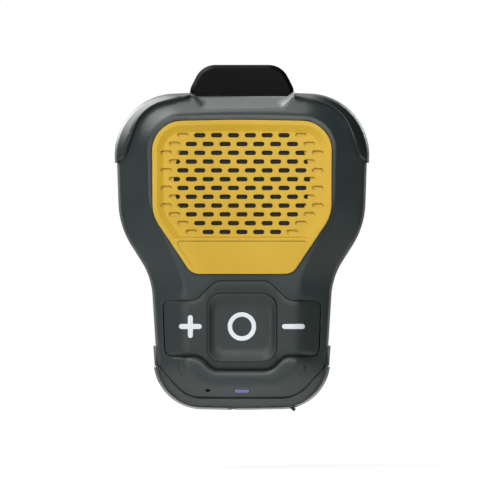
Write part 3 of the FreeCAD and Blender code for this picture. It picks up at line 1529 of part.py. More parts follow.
drill(clip_arm, "magnet_seats", magnet_places, size.clip_magnet_radius + size.magnet_gap,
      size.arm_back_level + size.clip_magnet_thickness, size.arm_back_level - 0.5)

clip_magnets = new_body("clip_magnets")
disc_pad(clip_magnets, "discs", magnet_places, size.clip_magnet_radius, size.arm_back_level,
         size.arm_back_level + size.clip_magnet_thickness)
magnet_pad = new_body("magnet_pad")
outline_pad(magnet_pad, "pad", mirrored([
    (size.arm_half - 1, size.arm_neck_up + 7, 4.0),
    (size.arm_half - 1, 1.2 - size.arm_bottom_down, 4.0),
]), 0, size.arm_back_level)

clip_pin = new_body("clip_pin")
pin_half = arm_ear_x + size.arm_ear_thickness
drawing = new_sketch(clip_pin, "shank_outline", -pin_half, "YZ_Plane")
draw_circle(drawing, size.pivot_up, size.pivot_level, size.pin_radius)
pad(clip_pin, "shank", drawing, 2 * pin_half)
for label, left in (("left", -pin_half - size.pin_head), ("right", pin_half)):
    drawing = new_sketch(clip_pin, label + "_head_outline", left, "YZ_Plane")
    draw_circle(drawing, size.pivot_up, size.pivot_level, size.pin_head_radius)
    pad(clip_pin, label + "_head", drawing, size.pin_head)

grip_pad = new_body("grip_pad")
grip_low = -size.arm_bottom_down - 3
box_pad(grip_pad, "pad", -size.grip_half, grip_low, size.grip_half, grip_low + 10,
        size.back_level - size.grip_thickness, size.back_level)
drawing = new_sketch(grip_pad, "grooves_outline", size.back_level - size.grip_thickness / 2)
for step in range(4):
    low = grip_low + 1.4 + 2.1 * step
    draw_box(drawing, -size.grip_half - 1, low, size.grip_half + 1, low + 0.8)
pocket(grip_pad, "grooves", drawing, size.grip_thickness)


# Two arcs that leave one point and reach the next along the given directions
def two_arcs(start, leave, end, arrive):
    span = end - start
    both = leave + arrive
    bend = 2 * (leave.dot(arrive) - 1)
    along = span.dot(both)
    if abs(bend) < 1e-9:
        reach = span.dot(span) / (2 * along)
    else:
        reach = (along - math.sqrt(along ** 2 - bend * span.dot(span))) / bend
    first = start + leave * reach
    second = end - arrive * reach
    middle = (first + second) * 0.5
    return [bent(start, first, middle), bent(middle, second, end)]


# The arc whose end tangents meet at the given corner
def bent(start, corner, end):
    chord_middle = (start + end) * 0.5
    height = (corner - chord_middle).Length
    half_chord = (end - start).Length / 2
    half_turn = math.acos(half_chord / (corner - start).Length)
    rise = half_chord * math.tan(half_turn / 2)
    return Part.Arc(start, chord_middle + (corner - chord_middle) * (rise / height), end).toShape()


# Torsion spring round the pin: straight leg, turns by quarter, straight leg
mean = float(size.spring_mean_radius)
pitch = float(size.spring_pitch)
half_length = float(spring_half)
quarters = int(4 * float(size.spring_turns) + 2)


def spring_point(quarter):
    angle = quarter * math.pi / 2
    x = -half_length + pitch * quarter / 4
    return V(x, float(size.pivot_up) - mean * math.sin(angle),
             float(size.pivot_level) + mean * math.cos(angle))


def spring_heading(quarter):
    angle = quarter * math.pi / 2
    lead = pitch / (2 * math.pi)
    return V(lead, -mean * math.cos(angle), -mean * math.sin(angle)).normalize()


leg = float(size.spring_leg)
spring_edges = []
first = spring_point(0)
upper_leg = V(first.x, first.y + leg, first.z)
ease = V(first.x - 0.12, first.y + 1.4, first.z)
upper_leg.x = ease.x
spring_edges.append(Part.LineSegment(upper_leg, ease).toShape())
spring_edges += two_arcs(ease, V(0, -1, 0), first, spring_heading(0))
for quarter in range(quarters):
    spring_edges += two_arcs(spring_point(quarter), spring_heading(quarter),
                             spring_point(quarter + 1), spring_heading(quarter + 1))
last = spring_point(quarters)
ease = V(last.x + 0.12, last.y + 1.4, last.z)
spring_edges += two_arcs(last, spring_heading(quarters), ease, V(0, 1, 0))
spring_edges.append(Part.LineSegment(ease, V(ease.x, last.y + leg, last.z)).toShape())
spring_path = Part.Wire(spring_edges)
clip_spring = swept(spring_path, spring_wire_radius)
new_feature("clip_spring", clip_spring)
expected = spring_path.Length * math.pi * float(spring_wire_radius) ** 2
print(f"spring volume {clip_spring.Volume:.3f}, section times length {expected:.3f}")

# Least gap of the spring to itself, measured between points over half a turn apart
trail = spring_path.discretize(Distance=0.12)
gap_span = math.pi * mean
least = min(a.distanceToPoint(b)
            for i, a in enumerate(trail) for j, b in enumerate(trail[i + 1:], start=i + 1)
            if (j - i) * 0.12 > gap_span)
print(f"least gap of the spring to itself {least - float(size.spring_wire):.3f}")

# Checks, then one file for each piece
doc.recompute()
faulty = [item.Name for item in doc.Objects if "Invalid" in item.State or "Error" in item.State]
if faulty:
    raise RuntimeError(f"failed objects: {faulty}")
for piece in pieces:
    shape = piece.Shape
    if shape.isNull() or not shape.isValid() or shape.Volume <= 0:
        raise RuntimeError(f"{piece.Label} has no valid shape")
os.makedirs("parts", exist_ok=True)
for piece in pieces:
    piece.Shape.exportStep(f"parts/{piece.Label}.step")
    print(f"{piece.Label}: {len(piece.Shape.Solids)} solid, {piece.Shape.Volume:.1f} cubic mm")
print("pieces:", len(pieces))
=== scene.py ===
import bmesh
import bpy
import json
import math
import numpy as np
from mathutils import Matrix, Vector
from mathutils.geometry import delaunay_2d_cdt
from mathutils.kdtree import KDTree


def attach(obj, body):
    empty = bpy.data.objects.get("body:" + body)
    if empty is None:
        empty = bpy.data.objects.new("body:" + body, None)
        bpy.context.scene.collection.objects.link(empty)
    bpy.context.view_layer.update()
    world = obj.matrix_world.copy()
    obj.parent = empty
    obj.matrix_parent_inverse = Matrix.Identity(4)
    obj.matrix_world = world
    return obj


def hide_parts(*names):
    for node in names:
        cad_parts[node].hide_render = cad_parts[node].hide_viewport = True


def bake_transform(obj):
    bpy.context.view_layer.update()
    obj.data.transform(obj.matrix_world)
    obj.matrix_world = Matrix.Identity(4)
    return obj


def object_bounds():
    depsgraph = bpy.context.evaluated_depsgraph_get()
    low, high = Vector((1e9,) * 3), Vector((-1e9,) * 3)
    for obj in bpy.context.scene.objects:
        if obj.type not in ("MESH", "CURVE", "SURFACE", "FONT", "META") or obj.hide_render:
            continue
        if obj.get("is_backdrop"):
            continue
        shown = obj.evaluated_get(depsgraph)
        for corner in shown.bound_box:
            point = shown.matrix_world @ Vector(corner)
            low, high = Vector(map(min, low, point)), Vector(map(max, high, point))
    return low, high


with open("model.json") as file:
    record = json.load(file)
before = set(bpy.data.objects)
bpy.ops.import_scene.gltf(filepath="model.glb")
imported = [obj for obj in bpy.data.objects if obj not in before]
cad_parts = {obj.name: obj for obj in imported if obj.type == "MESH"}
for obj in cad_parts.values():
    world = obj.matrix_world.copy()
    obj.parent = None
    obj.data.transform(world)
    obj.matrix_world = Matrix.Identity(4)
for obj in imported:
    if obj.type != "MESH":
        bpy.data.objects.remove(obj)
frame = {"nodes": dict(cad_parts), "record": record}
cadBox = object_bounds()
nodes = frame["nodes"]


# A shader value: arithmetic on it adds Math nodes to its material
class Wire:
    def __init__(self, paint, socket):
        self.paint = paint
        self.socket = socket

    def math(self, operation, *values):
        return self.paint.node("Math", {"operation": operation}, dict(enumerate(values)))

    def __add__(self, other):
        return self.math("ADD", self, other)

    __radd__ = __add__

    def __sub__(self, other):
        return self.math("SUBTRACT", self, other)

    def __rsub__(self, other):
        return self.math("SUBTRACT", other, self)

    def __mul__(self, other):
        return self.math("MULTIPLY", self, other)

    __rmul__ = __mul__

    def clip(self):
        return self.paint.node("Clamp", {}, {"Value": self})


# A material's nodes, or those of another tree
class Paint:
    def __init__(self, name, tree=None):
        if tree is None:
            self.material = bpy.data.materials.new(name)
            self.material.use_nodes = True
            tree = self.material.node_tree
        self.tree = tree
        tree.nodes.clear()

    # Any node: its type, its settings, then the values or links of its sockets
    def node(self, kind, settings, sockets, output=0):
        made = self.tree.nodes.new("ShaderNode" + kind)
        for key, value in settings.items():
            setattr(made, key, value)
        for key, value in sockets.items():
            if isinstance(value, Wire):
                self.tree.links.new(value.socket, made.inputs[key])
            else:
                made.inputs[key].default_value = value
        return Wire(self, made.outputs[output]) if len(made.outputs) else None

    def place(self):
        return self.node("TexCoord", {}, {}, "Object")

    def noise(self, size, detail=2.0, roughness=0.5, stretch=(1, 1, 1)):
        spread = tuple(amount / size for amount in stretch)
        spot = self.node("Mapping", {}, {"Vector": self.place(), "Scale": spread})
        return self.node("TexNoise", {}, {"Vector": spot, "Scale": 1.0, "Detail": detail,
                                          "Roughness": roughness})

    def blend(self, factor, first, second, clamped=True):
        settings = {"data_type": "RGBA", "clamp_factor": clamped}
        return self.node("Mix", settings, {"Factor": factor, 6: first, 7: second}, 2)

    def ramp(self, value, low, high, first=0.0, second=1.0):
        sockets = {"Value": value, "From Min": low, "From Max": high,
                   "To Min": first, "To Max": second}
        return self.node("MapRange", {"interpolation_type": "SMOOTHSTEP"}, sockets)

    # How sharply an outer edge turns within the given distance
    def edges(self, reach):
        soft = self.node("Bevel", {"samples": 6}, {"Radius": reach})
        true = self.node("NewGeometry", {}, {}, "Normal")
        aligned = self.node("VectorMath", {"operation": "DOT_PRODUCT"}, {0: soft, 1: true}, "Value")
        return 1 - aligned

    def finish(self, sockets):
        skin = self.node("BsdfPrincipled", {}, sockets)
        self.node("OutputMaterial", {}, {"Surface": skin})
        return self.material


# A colour's six hexadecimal digits as linear values
def srgb(code):
    parts = [int(code[i:i + 2], 16) / 255 for i in (0, 2, 4)]
    linear = [c / 12.92 if c <= 0.04045 else ((c + 0.055) / 1.055) ** 2.4 for c in parts]
    return (*linear, 1.0)


# Moulded parts: spark-eroded grain, faint clouds in the colour, paler rounded edges
def moulded(name, look):
    paint = Paint(name)
    clouds = paint.ramp(paint.noise(look["cloudSize"], 3.0), *look["cloudBand"])
    grain = paint.noise(look["grainSize"], 2.0, 0.6)
    rub = paint.noise(look["rubSize"], 4.0, 0.65)
    edge = paint.ramp(paint.edges(look["edgeReach"]), *look["edgeBand"])
    worn = (edge * paint.ramp(rub, *look["rubBand"]) * look["edgeWear"]).clip()
    body = paint.blend(clouds, srgb(look["dark"]), srgb(look["light"]))
    colour = paint.blend(worn, body, srgb(look["worn"]))
    roughness = look["rough"] + (rub - 0.5) * look["roughSpread"] - worn * look["wornPolish"]
    soft = paint.node("Bevel", {"samples": 6}, {"Radius": look["edgeReach"]})
    bump = paint.node("Bump", {}, {"Height": grain, "Strength": look["grainStrength"],
                                   "Distance": look["grainDepth"], "Normal": soft})
    return paint.finish({"Base Color": colour, "Roughness": roughness, "Normal": bump,
                         "Specular IOR Level": look["specular"]})


darkShell = {
    "dark": "262e2d", "light": "2a3231", "worn": "474d4c",
    "cloudSize": 0.03, "grainSize": 0.00035, "rubSize": 0.006,
    "cloudBand": (0.35, 0.65), "rubBand": (0.35, 0.7), "edgeBand": (0.01, 0.25),
    "rough": 0.42, "roughSpread": 0.14, "wornPolish": 0.12, "specular": 0.4,
    "edgeReach": 0.00035, "edgeWear": 0.35, "grainStrength": 0.25, "grainDepth": 0.00006,
}
bumperRubber = {**darkShell, "dark": "191f1f", "light": "1e2424", "worn": "454a4a",
                "grainSize": 0.0005, "grainDepth": 0.00004, "specular": 0.5}
keyPlastic = {**darkShell, "dark": "1e2625", "light": "222a29", "rough": 0.5}
softRubber = {**darkShell, "dark": "1b2221", "light": "1f2625", "rough": 0.55, "specular": 0.35}
yellowShell = {**darkShell, "dark": "bb961a", "light": "c29d22", "worn": "cfac3a", "rough": 0.45,
               "edgeWear": 0.3, "grainDepth": 0.00004, "specular": 0.45}
whitePrint = {**darkShell, "dark": "cfd5d9", "light": "d9dfe2", "worn": "e8ecee", "rough": 0.5}
blackClip = {**darkShell, "dark": "080907", "light": "0b0c09", "worn": "2a2c2b", "specular": 0.07}
chipBlack = {**darkShell, "dark": "121314", "light": "181a1b", "worn": "303234"}
plugWhite = {**darkShell, "dark": "c9c6ba", "light": "d8d5ca", "worn": "efece2"}
leadRed = {**darkShell, "dark": "7a1512", "light": "8d1d18", "worn": "a83a33"}
conePaper = {**darkShell, "dark": "1d1e20", "light": "26272a", "worn": "3c3d40", "rough": 0.8,
             "grainSize": 0.0012, "grainDepth": 0.0002}
foamBlack = {**darkShell, "dark": "141515", "light": "1c1d1d", "rough": 0.9, "grainSize": 0.0006,
             "grainDepth": 0.0002}
magnetGrey = {**darkShell, "dark": "36373a", "light": "3f4043", "rough": 0.6}
foilWrap = {**darkShell, "dark": "9fa2a6", "light": "b1b4b8", "worn": "d0d2d5", "rough": 0.35}
lightGuide = {**darkShell, "dark": "757bbb", "light": "8086c4", "worn": "8f95c4", "rough": 0.3}


# Bare metal: drawn or turned lines, small stains
def metal(name, look):
    paint = Paint(name)
    lines = paint.noise(look["lineSize"], 3.0, 0.6, look["stretch"])
    stain = paint.ramp(paint.noise(look["stainSize"], 3.0), *look["stainBand"])
    colour = paint.blend(stain, srgb(look["light"]), srgb(look["dark"]))
    roughness = look["rough"] + (lines - 0.5) * look["roughSpread"]
    soft = paint.node("Bevel", {"samples": 4}, {"Radius": look["edgeReach"]})
    bump = paint.node("Bump", {}, {"Height": lines, "Strength": look["lineStrength"],
                                   "Distance": look["lineDepth"], "Normal": soft})
    return paint.finish({"Base Color": colour, "Metallic": 1.0, "Roughness": roughness,
                         "Normal": bump})


steel = {
    "light": "b9babc", "dark": "8f9093", "stainSize": 0.004, "stainBand": (0.4, 0.7),
    "rough": 0.32, "roughSpread": 0.25, "edgeReach": 0.00015,
    "lineSize": 0.0004, "stretch": (1, 6, 1), "lineStrength": 0.2, "lineDepth": 0.00003,
}
nickel = {**steel, "light": "cfd0d2", "dark": "b4b4b6", "rough": 0.2}
greyMetal = {**steel, "light": "6f7174", "dark": "5c5e61", "rough": 0.45}
copper = {**steel, "light": "c98a5c", "dark": "a4683d", "rough": 0.35, "stretch": (1, 1, 12)}


# Cloth: two crossed sets of threads as bump and shade. At a scale of 1 a wave is 0.314 long
def cloth(name, look):
    paint = Paint(name)
    scale = 0.314 / look["pitch"]
    across, along = (paint.node("TexWave", {"bands_direction": way},
                                {"Vector": paint.place(), "Scale": scale}, "Fac") for way in "XZ")
    weave = across * along
    colour = paint.blend(weave, srgb(look["dark"]), srgb(look["light"]))
    bump = paint.node("Bump", {}, {"Height": weave, "Strength": look["threadStrength"],
                                   "Distance": look["threadDepth"]})
    return paint.finish({"Base Color": colour, "Roughness": look["rough"], "Normal": bump})


blackCloth = {"dark": "0a0a06", "light": "201f13", "pitch": 0.0004, "rough": 0.85,
              "threadStrength": 0.6, "threadDepth": 0.0001}
tanCloth = {**blackCloth, "dark": "8f6f3c", "light": "b08e52", "pitch": 0.0007}


# Circuit board: solder mask over faint tracks
def board(name, look):
    paint = Paint(name)
    tracks = paint.node("TexBrick", {}, {"Vector": paint.place(), "Scale": look["trackScale"]})
    clouds = paint.noise(look["cloudSize"], 4.0)
    colour = paint.blend(clouds, srgb(look["dark"]), srgb(look["light"]))
    bump = paint.node("Bump", {}, {"Height": tracks, "Strength": look["trackStrength"],
                                   "Distance": look["trackDepth"]})
    return paint.finish({"Base Color": colour, "Roughness": look["rough"], "Normal": bump})


boardGreen = {"dark": "11452c", "light": "17563a", "cloudSize": 0.003, "rough": 0.32,
              "trackScale": 160.0, "trackStrength": 0.2, "trackDepth": 0.00005}

finishes = {
    "dark_shell": moulded("darkShell", darkShell),
    "yellow_shell": moulded("yellowShell", yellowShell),
    "bumper_rubber": moulded("bumperRubber", bumperRubber),
    "key_rubber": moulded("softRubber", softRubber),
    "key_plastic": moulded("keyPlastic", keyPlastic),
    "white_print": moulded("whitePrint", whitePrint),
    "light_guide": moulded("lightGuide", lightGuide),
    "black_cloth": cloth("blackCloth", blackCloth),
    "black_foam": moulded("foamBlack", foamBlack),
    "grey_metal": metal("greyMetal", greyMetal),
    "steel": metal("steel", steel),
    "nickel": metal("nickel", nickel),
    "magnet_grey": moulded("magnetGrey", magnetGrey),
    "copper_wire": metal("copper", copper),
    "cone_paper": moulded("conePaper", conePaper),
    "tan_cloth": cloth("tanCloth", tanCloth),
    "board_green": board("boardGreen", boardGreen),
    "chip_black": moulded("chipBlack", chipBlack),
    "plug_white": moulded("plugWhite", plugWhite),
    "cell_wrap": moulded("foilWrap", foilWrap),
    "lead_sleeve": moulded("leadRed", leadRed),
}
slotOf = {part["node"]: part["material_slot"] for part in frame["record"]["subparts"]}
clipFinish = moulded("blackClip", blackClip)
ownFinishes = {"clip_arm": clipFinish, "clip_bracket": clipFinish,
               "microphone": finishes["chip_black"]}
for name, item in nodes.items():
    item.data.materials.clear()
    item.data.materials.append(ownFinishes.get(name, finishes[slotOf[name]]))
print("finishes on", len(nodes), "nodes")


# Outlines are clockwise loops of corners (across, up, round) in millimetres, right half first
def mirrored(half):
    left = [(-x, up, turn) for x, up, turn in reversed(half) if x > 1e-6]
    return list(half) + left


# The same loop with its corners moved inward
def inset(corners, distance):
    moved = []
    for i, (x, up, turn) in enumerate(corners):
        corner = Vector((x, up))
        come = (corner - Vector(corners[i - 1][:2])).normalized()
        leave = (Vector(corners[(i + 1) % len(corners)][:2]) - corner).normalized()
        inward = Vector((come.y + leave.y, -come.x - leave.x))
        place = corner + inward * (2 * distance / inward.length_squared)
        convex = come.x * leave.y - come.y * leave.x < 0
        moved.append((place.x, place.y, turn - distance if convex else turn + distance))
    return moved


# Start, end, centre and sweep of a rounded corner
def bend(corners, i):
    corner = Vector(corners[i][:2])
    back = (Vector(corners[i - 1][:2]) - corner).normalized()
    ahead = (Vector(corners[(i + 1) % len(corners)][:2]) - corner).normalized()
    half = back.angle(ahead) / 2
    turn = corners[i][2]
    centre = corner + (back + ahead).normalized() * (turn / math.sin(half))
    reach = turn / math.tan(half)
    return corner + back * reach, corner + ahead * reach, centre, math.pi - 2 * half


# How many steps each rounded corner and each straight gets
def stepsOf(corners, step):
    steps = []
    for i in range(len(corners)):
        _, end, _, sweep = bend(corners, i)
        ahead = bend(corners, (i + 1) % len(corners))[0]
        steps.append((max(3, math.ceil(corners[i][2] * sweep / step)),
                      max(1, math.ceil((ahead - end).length / step))))
    return steps


# Points along a loop, from a list of steps or a step's length
def trace(corners, steps):
    if not isinstance(steps, list):
        steps = stepsOf(corners, steps)
    points = []
    for i, (turns, runs) in enumerate(steps):
        start, end, centre, sweep = bend(corners, i)
        arm = start - centre
        side = arm.x * (end - centre).y - arm.y * (end - centre).x
        for k in range(turns):
            angle = math.copysign(sweep * k / turns, side)
            spot = Vector((arm.x * math.cos(angle) - arm.y * math.sin(angle),
                           arm.x * math.sin(angle) + arm.y * math.cos(angle)))
            points.append(centre + spot)
        ahead = bend(corners, (i + 1) % len(corners))[0]
        for k in range(runs):
            points.append(end.lerp(ahead, k / runs))
    return np.array([(p.x, p.y) for p in points])


# Depth of each spot inside a loop, negative outside it
def depth(spots, loop):
    after = np.roll(loop, -1, axis=0)
    run = after - loop
    lengths = np.maximum((run ** 2).sum(1), 1e-12)
    result = np.empty(len(spots))
    batch = 2000
    for first in range(0, len(spots), batch):
        some = spots[first:first + batch]
        arm = some[:, None, :] - loop
        along = np.clip((arm * run).sum(2) / lengths, 0, 1)
        near = np.sqrt(((arm - along[..., None] * run) ** 2).sum(2)).min(1)
        up = some[:, 1:2]
        crosses = (loop[:, 1] > up) != (after[:, 1] > up)
        rise = np.where(np.abs(run[:, 1]) < 1e-12, 1e-12, run[:, 1])
        left = some[:, :1] < loop[:, 0] + run[:, 0] * (up - loop[:, 1]) / rise
        inside = (crosses & left).sum(1) % 2 == 1
        result[first:first + batch] = np.where(inside, near, -near)
    return result


# 0 up to start, 1 from start + run on, and straight between them
def portion(value, start, run):
    return np.clip((value - start) / run, 0, 1)


# The same with a smooth turn at both ends
def fade(value, start, run):
    part = portion(value, start, run)
    return part * part * (3 - 2 * part)


# The lower of two levels, rounded where they cross
def softLeast(first, second, width):
    mix = np.clip(0.5 + 0.5 * (second - first) / width, 0, 1)
    return second * (1 - mix) + first * mix - width * mix * (1 - mix)


# From millimetres across, up and towards the front to the frame's metres
def stand(x, up, level):
    return x * 0.001, -level * 0.001, up * 0.001


# Points in a region for even triangles, each row half a step aside from the last
def gridIn(region, low, high, step):
    grid = []
    for row, up in enumerate(np.arange(low[1], high[1], step * 0.866)):
        for x in np.arange(low[0] + (row % 2) * step / 2, high[0], step):
            grid.append((x, up))
    grid = np.array(grid)
    return grid[region(grid)]


# Turns the border down where fallAt, which gets the middles of its edges, isn't 0
def addSkirt(mesh, fallAt):
    border = [edge for edge in mesh.edges if edge.is_boundary]
    middles = np.array([((e.verts[0].co.x + e.verts[1].co.x) * 500,
                         (e.verts[0].co.z + e.verts[1].co.z) * 500) for e in border])
    falls = fallAt(middles)
    drop = max(falls) * 0.001
    border = [edge for edge, fall in zip(border, falls) if fall > 0]
    for item in bmesh.ops.extrude_edge_only(mesh, edges=border)["geom"]:
        if isinstance(item, bmesh.types.BMVert):
            item.co.y += drop


# A border's middle this near to a line belongs to it
onLine = 0.02


# A sheet over a flat region: its lines, and a grid that keeps clear of them, joined by triangles
def sheet(look):
    lines = look["lines"]
    low = np.min([line.min(0) for line in lines], axis=0)
    high = np.max([line.max(0) for line in lines], axis=0)
    grid = gridIn(look["region"], low, high, look["step"])
    edges = []
    points = []
    for line in lines:
        first = len(points)
        points.extend(map(tuple, line))
        count = len(line)
        edges.extend((first + k, first + (k + 1) % count) for k in range(count))
    fixed = KDTree(len(points))
    for index, (x, up) in enumerate(points):
        fixed.insert((x, up, 0), index)
    fixed.balance()
    points.extend((x, up) for x, up in grid if fixed.find((x, up, 0))[2] > look["step"] * 0.45)
    flat = [Vector(p) for p in points]
    spots, _, faces, _, _, _ = delaunay_2d_cdt(flat, edges, [], 0, 1e-5)
    spots = np.array([(p.x, p.y) for p in spots])
    faces = np.array([face for face in faces if len(face) == 3])
    middles = spots[faces].mean(axis=1)
    faces = faces[look["region"](middles)]
    corners = spots[faces]
    area = ((corners[:, 1, 0] - corners[:, 0, 0]) * (corners[:, 2, 1] - corners[:, 0, 1])
            - (corners[:, 2, 0] - corners[:, 0, 0]) * (corners[:, 1, 1] - corners[:, 0, 1]))
    faces[area < 0] = faces[area < 0][:, ::-1]
    mesh = bmesh.new()
    levels = look["height"](spots)
    made = [mesh.verts.new(stand(*spot, level)) for spot, level in zip(spots, levels)]
    for face in faces:
        mesh.faces.new([made[k] for k in face])
    bmesh.ops.delete(mesh, geom=[v for v in mesh.verts if not v.link_faces], context="VERTS")
    addSkirt(mesh, look["skirt"])
    return mesh


# A copy of a frame node's mesh, and where its points are in millimetres
def copyOf(name):
    mesh = bmesh.new()
    mesh.from_mesh(nodes[name].data)
    bmesh.ops.remove_doubles(mesh, verts=mesh.verts, dist=1e-6)
    return mesh, np.array([tuple(v.co) for v in mesh.verts]) * 1000


# The mesh becomes a piece that rides on a body, or on none
def piece(name, mesh, finish, body, replaced, sharp=40):
    data = bpy.data.meshes.new(name)
    bmesh.ops.remove_doubles(mesh, verts=mesh.verts, dist=2e-6)
    for face in mesh.faces:
        face.smooth = True
    mesh.to_mesh(data)
    mesh.free()
    data.set_sharp_from_angle(angle=math.radians(sharp))
    data.materials.append(finish)
    item = bpy.data.objects.new(name, data)
    bpy.context.scene.collection.objects.link(item)
    if body:
        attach(item, body)
    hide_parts(*replaced)
    return item


# The housing's outlines in the plane, and how its front rises and falls between them
housing = {
    "outline": [(0, 42.0, 300), (33.95, 40.9, 15.7), (32.75, 6.5, 22), (24.19, -7, 19),
                (22.05, -41.35, 12.2), (0, -41.75, 200)],
    "face": [(0, 37.1, 300), (25.9, 36.2, 9.5), (25.4, 12.5, 14), (16.3, -7.8, 14),
             (15.6, -35.9, 8.5), (0, -36.3, 200)],
    "plate": [(0, 34.9, 300), (23.95, 34.4, 8), (23.8, 9.4, 10), (13.4, -6.2, 3.8)],
    "keypad": [(7.0, -8.0, 4), (12.3, -13.3, 4), (21.2, -13.3, 1.8), (20.6, -28.0, 1.8),
               (11.3, -28.0, 4), (7.6, -31.7, 4)],
    "draft": 0.6, "wallHeight": 7.4, "shoulder": 26.0, "crease": 31.4, "front": 32.0,
    "faceSlope": 0.85, "fillet": 2.2, "plateLap": 0.3,
    "outlineStep": 0.9, "loopStep": 0.7, "holeStep": 0.2, "gridStep": 1.3,
    "grooveDepth": 0.28, "grooveIn": 0.22, "grooveWidth": 0.18,
    "grooveFade": (-4, 10), "grooveLeast": 0.25, "grooveEnd": (-12, 4),
    "edgeSoft": 0.16, "waistSoft": 1.5, "waistFade": (8, 5), "waistEnd": (25, 9), "waistLoss": 0.85,
    "valleyDepth": 0.6, "valleyWidth": 0.72, "valleySides": (16.4, 4.4), "sideLoss": 0.9,
    "valleyFade": (16, 8), "valleyLeast": 0.28,
    "valleyGaps": (-0.12, -0.3, -0.55, -0.85, -1.3), "creaseGaps": (-0.35, -0.12, 0.1, 0.35),
    "slopeGaps": (0.6, 0.85), "holeWall": 1.6, "keypadEnds": 18,
}
outline = mirrored(housing["outline"])
rimCorners = inset(outline, housing["draft"])
faceCorners = mirrored(housing["face"])
counts = stepsOf(outline, housing["outlineStep"])
rimLoop = trace(rimCorners, counts)
faceLoop = trace(faceCorners, counts)
plateLoop = trace(inset(mirrored(housing["plate"]), housing["plateLap"]), housing["loopStep"])
keypadCorners = mirrored(housing["keypad"])
keypadLoop = trace(keypadCorners, 0.4)


# Level of the facets between the rim and the face, and how far inside the face each spot is
def facetLevel(spots):
    outer = np.maximum(depth(spots, rimLoop), 0)
    inner = depth(spots, faceLoop)
    share = outer / np.maximum(outer - np.minimum(inner, 0), 1e-6)
    rise = housing["crease"] - housing["shoulder"]
    level = np.where(inner > 0, housing["crease"] + housing["faceSlope"] * inner,
                     housing["shoulder"] + rise * share)
    return level, inner


# The surface sinks towards the keypad's outline, less at its sides and its top
def keypadValley(spots):
    away = np.abs(depth(spots, keypadLoop))
    least = housing["valleyLeast"]
    weight = 1 - housing["sideLoss"] * fade(np.abs(spots[:, 0]), *housing["valleySides"])
    weight *= least + (1 - least) * fade(-spots[:, 1], *housing["valleyFade"])
    return housing["valleyDepth"] * weight * np.exp(-(away / housing["valleyWidth"]) ** 2)


# A flat front with a groove round the plate's field, and a softer edge at the waist
def frontLevel(spots):
    facet, inner = facetLevel(spots)
    up = spots[:, 1]
    least = housing["grooveLeast"]
    weight = least + (1 - least) * fade(up, *housing["grooveFade"])
    weight *= fade(up, *housing["grooveEnd"])
    groove = np.exp(-((inner - housing["grooveIn"]) / housing["grooveWidth"]) ** 2)
    flat = housing["front"] - weight * housing["grooveDepth"] * groove
    waist = fade(-up, *housing["waistFade"])
    waist *= 1 - housing["waistLoss"] * fade(-up, *housing["waistEnd"])
    soft = housing["edgeSoft"] + housing["waistSoft"] * waist
    return softLeast(flat, facet, soft) - keypadValley(spots)


recess = {
    "frontHalf": 10.4, "crestHalf": 12.2, "half": 13.9, "frontUp": 38.1, "crestUp": 41.2,
    "wallUp": 40.7, "sideUp": 42.463, "above": 46, "front": 30.0, "crest": 20.5, "round": 0.25,
    "border": 0.005, "outside": 99, "edgeLifts": (-0.12, 0.0, 0.12),
}


# Level of the thumb recess: its floor, or the slanted sides that meet the floor
def recessLevel(spots):
    fall = recess["front"] - recess["crest"]
    up, x = spots[:, 1], np.abs(spots[:, 0])
    lean = (recess["wallUp"] - recess["frontUp"]) / (recess["half"] - recess["frontHalf"])
    rise = recess["crestUp"] - recess["frontUp"]
    widening = recess["crestHalf"] - recess["frontHalf"]
    bottom = recess["front"] - fall * (up - recess["frontUp"]) / rise
    across = up - recess["frontUp"] - (x - recess["frontHalf"]) * lean
    side = recess["front"] - fall * across / (rise - widening * lean)
    within = x < recess["half"] - recess["border"]
    return np.where(within, np.maximum(bottom, side), recess["outside"])


# The front with the recess cut into it
def housingLevel(spots):
    return softLeast(frontLevel(spots), recessLevel(spots), recess["round"])


# The line along which the recess leaves the facets, found on one upright after another
def recessEdge():
    edge = []
    reach = recess["half"] - 2 * recess["border"]
    ups = np.linspace(36.5, 42.5, 241)
    for x in np.linspace(-reach, reach, 61):
        spots = np.stack([np.full_like(ups, x), ups], axis=1)
        under = recessLevel(spots) < frontLevel(spots)
        edge.append((x, ups[np.argmax(under)]))
    return edge


# Where the recess has cut the wall away down to its crest, and the holes for light and sound
crestRight = [(recess["half"], recess["above"]), (recess["half"], recess["sideUp"]),
              (recess["crestHalf"], recess["crestUp"])]
recessCrest = np.array([(-x, up) for x, up in reversed(crestRight)] + crestRight)
holes = {"light": [(2.0, -36.915, 0.484), (2.0, -37.885, 0.484)],
         "sound": [(0.5, -36.9, 0.295), (0.5, -37.5, 0.295)], "soundX": -9.1}
lightHole = trace(mirrored(holes["light"]), housing["holeStep"])
soundCorners = [(x + holes["soundX"], up, turn) for x, up, turn in mirrored(holes["sound"])]
soundHole = trace(soundCorners, housing["holeStep"])


# Arc between a wall and a facet, in the plane of the two
def filletPoints(corner, wall, facet, radius, count):
    half = wall.angle(facet) / 2
    centre = corner + (wall + facet).normalized() * (radius / math.sin(half))
    first = (corner + wall * (radius / math.tan(half)) - centre).normalized()
    last = (corner + facet * (radius / math.tan(half)) - centre).normalized()
    return [centre + first.slerp(last, k / count) * radius for k in range(count + 1)]


# Rows of points from the wall over the rounded shoulder, one column for each outline step
def shoulderRows(rim, inner, levels, radius, flare, count=6):
    columns = []
    for k in range(len(rim)):
        corner = Vector((*rim[k], levels[0]))
        facet = (Vector((*inner[k], levels[1])) - corner).normalized()
        inward = Vector((*(inner[k] - rim[k]), 0)).normalized()
        wall = (Vector((0, 0, -housing["wallHeight"])) - inward * flare).normalized()
        columns.append(filletPoints(corner, wall, facet, radius, count))
    return columns


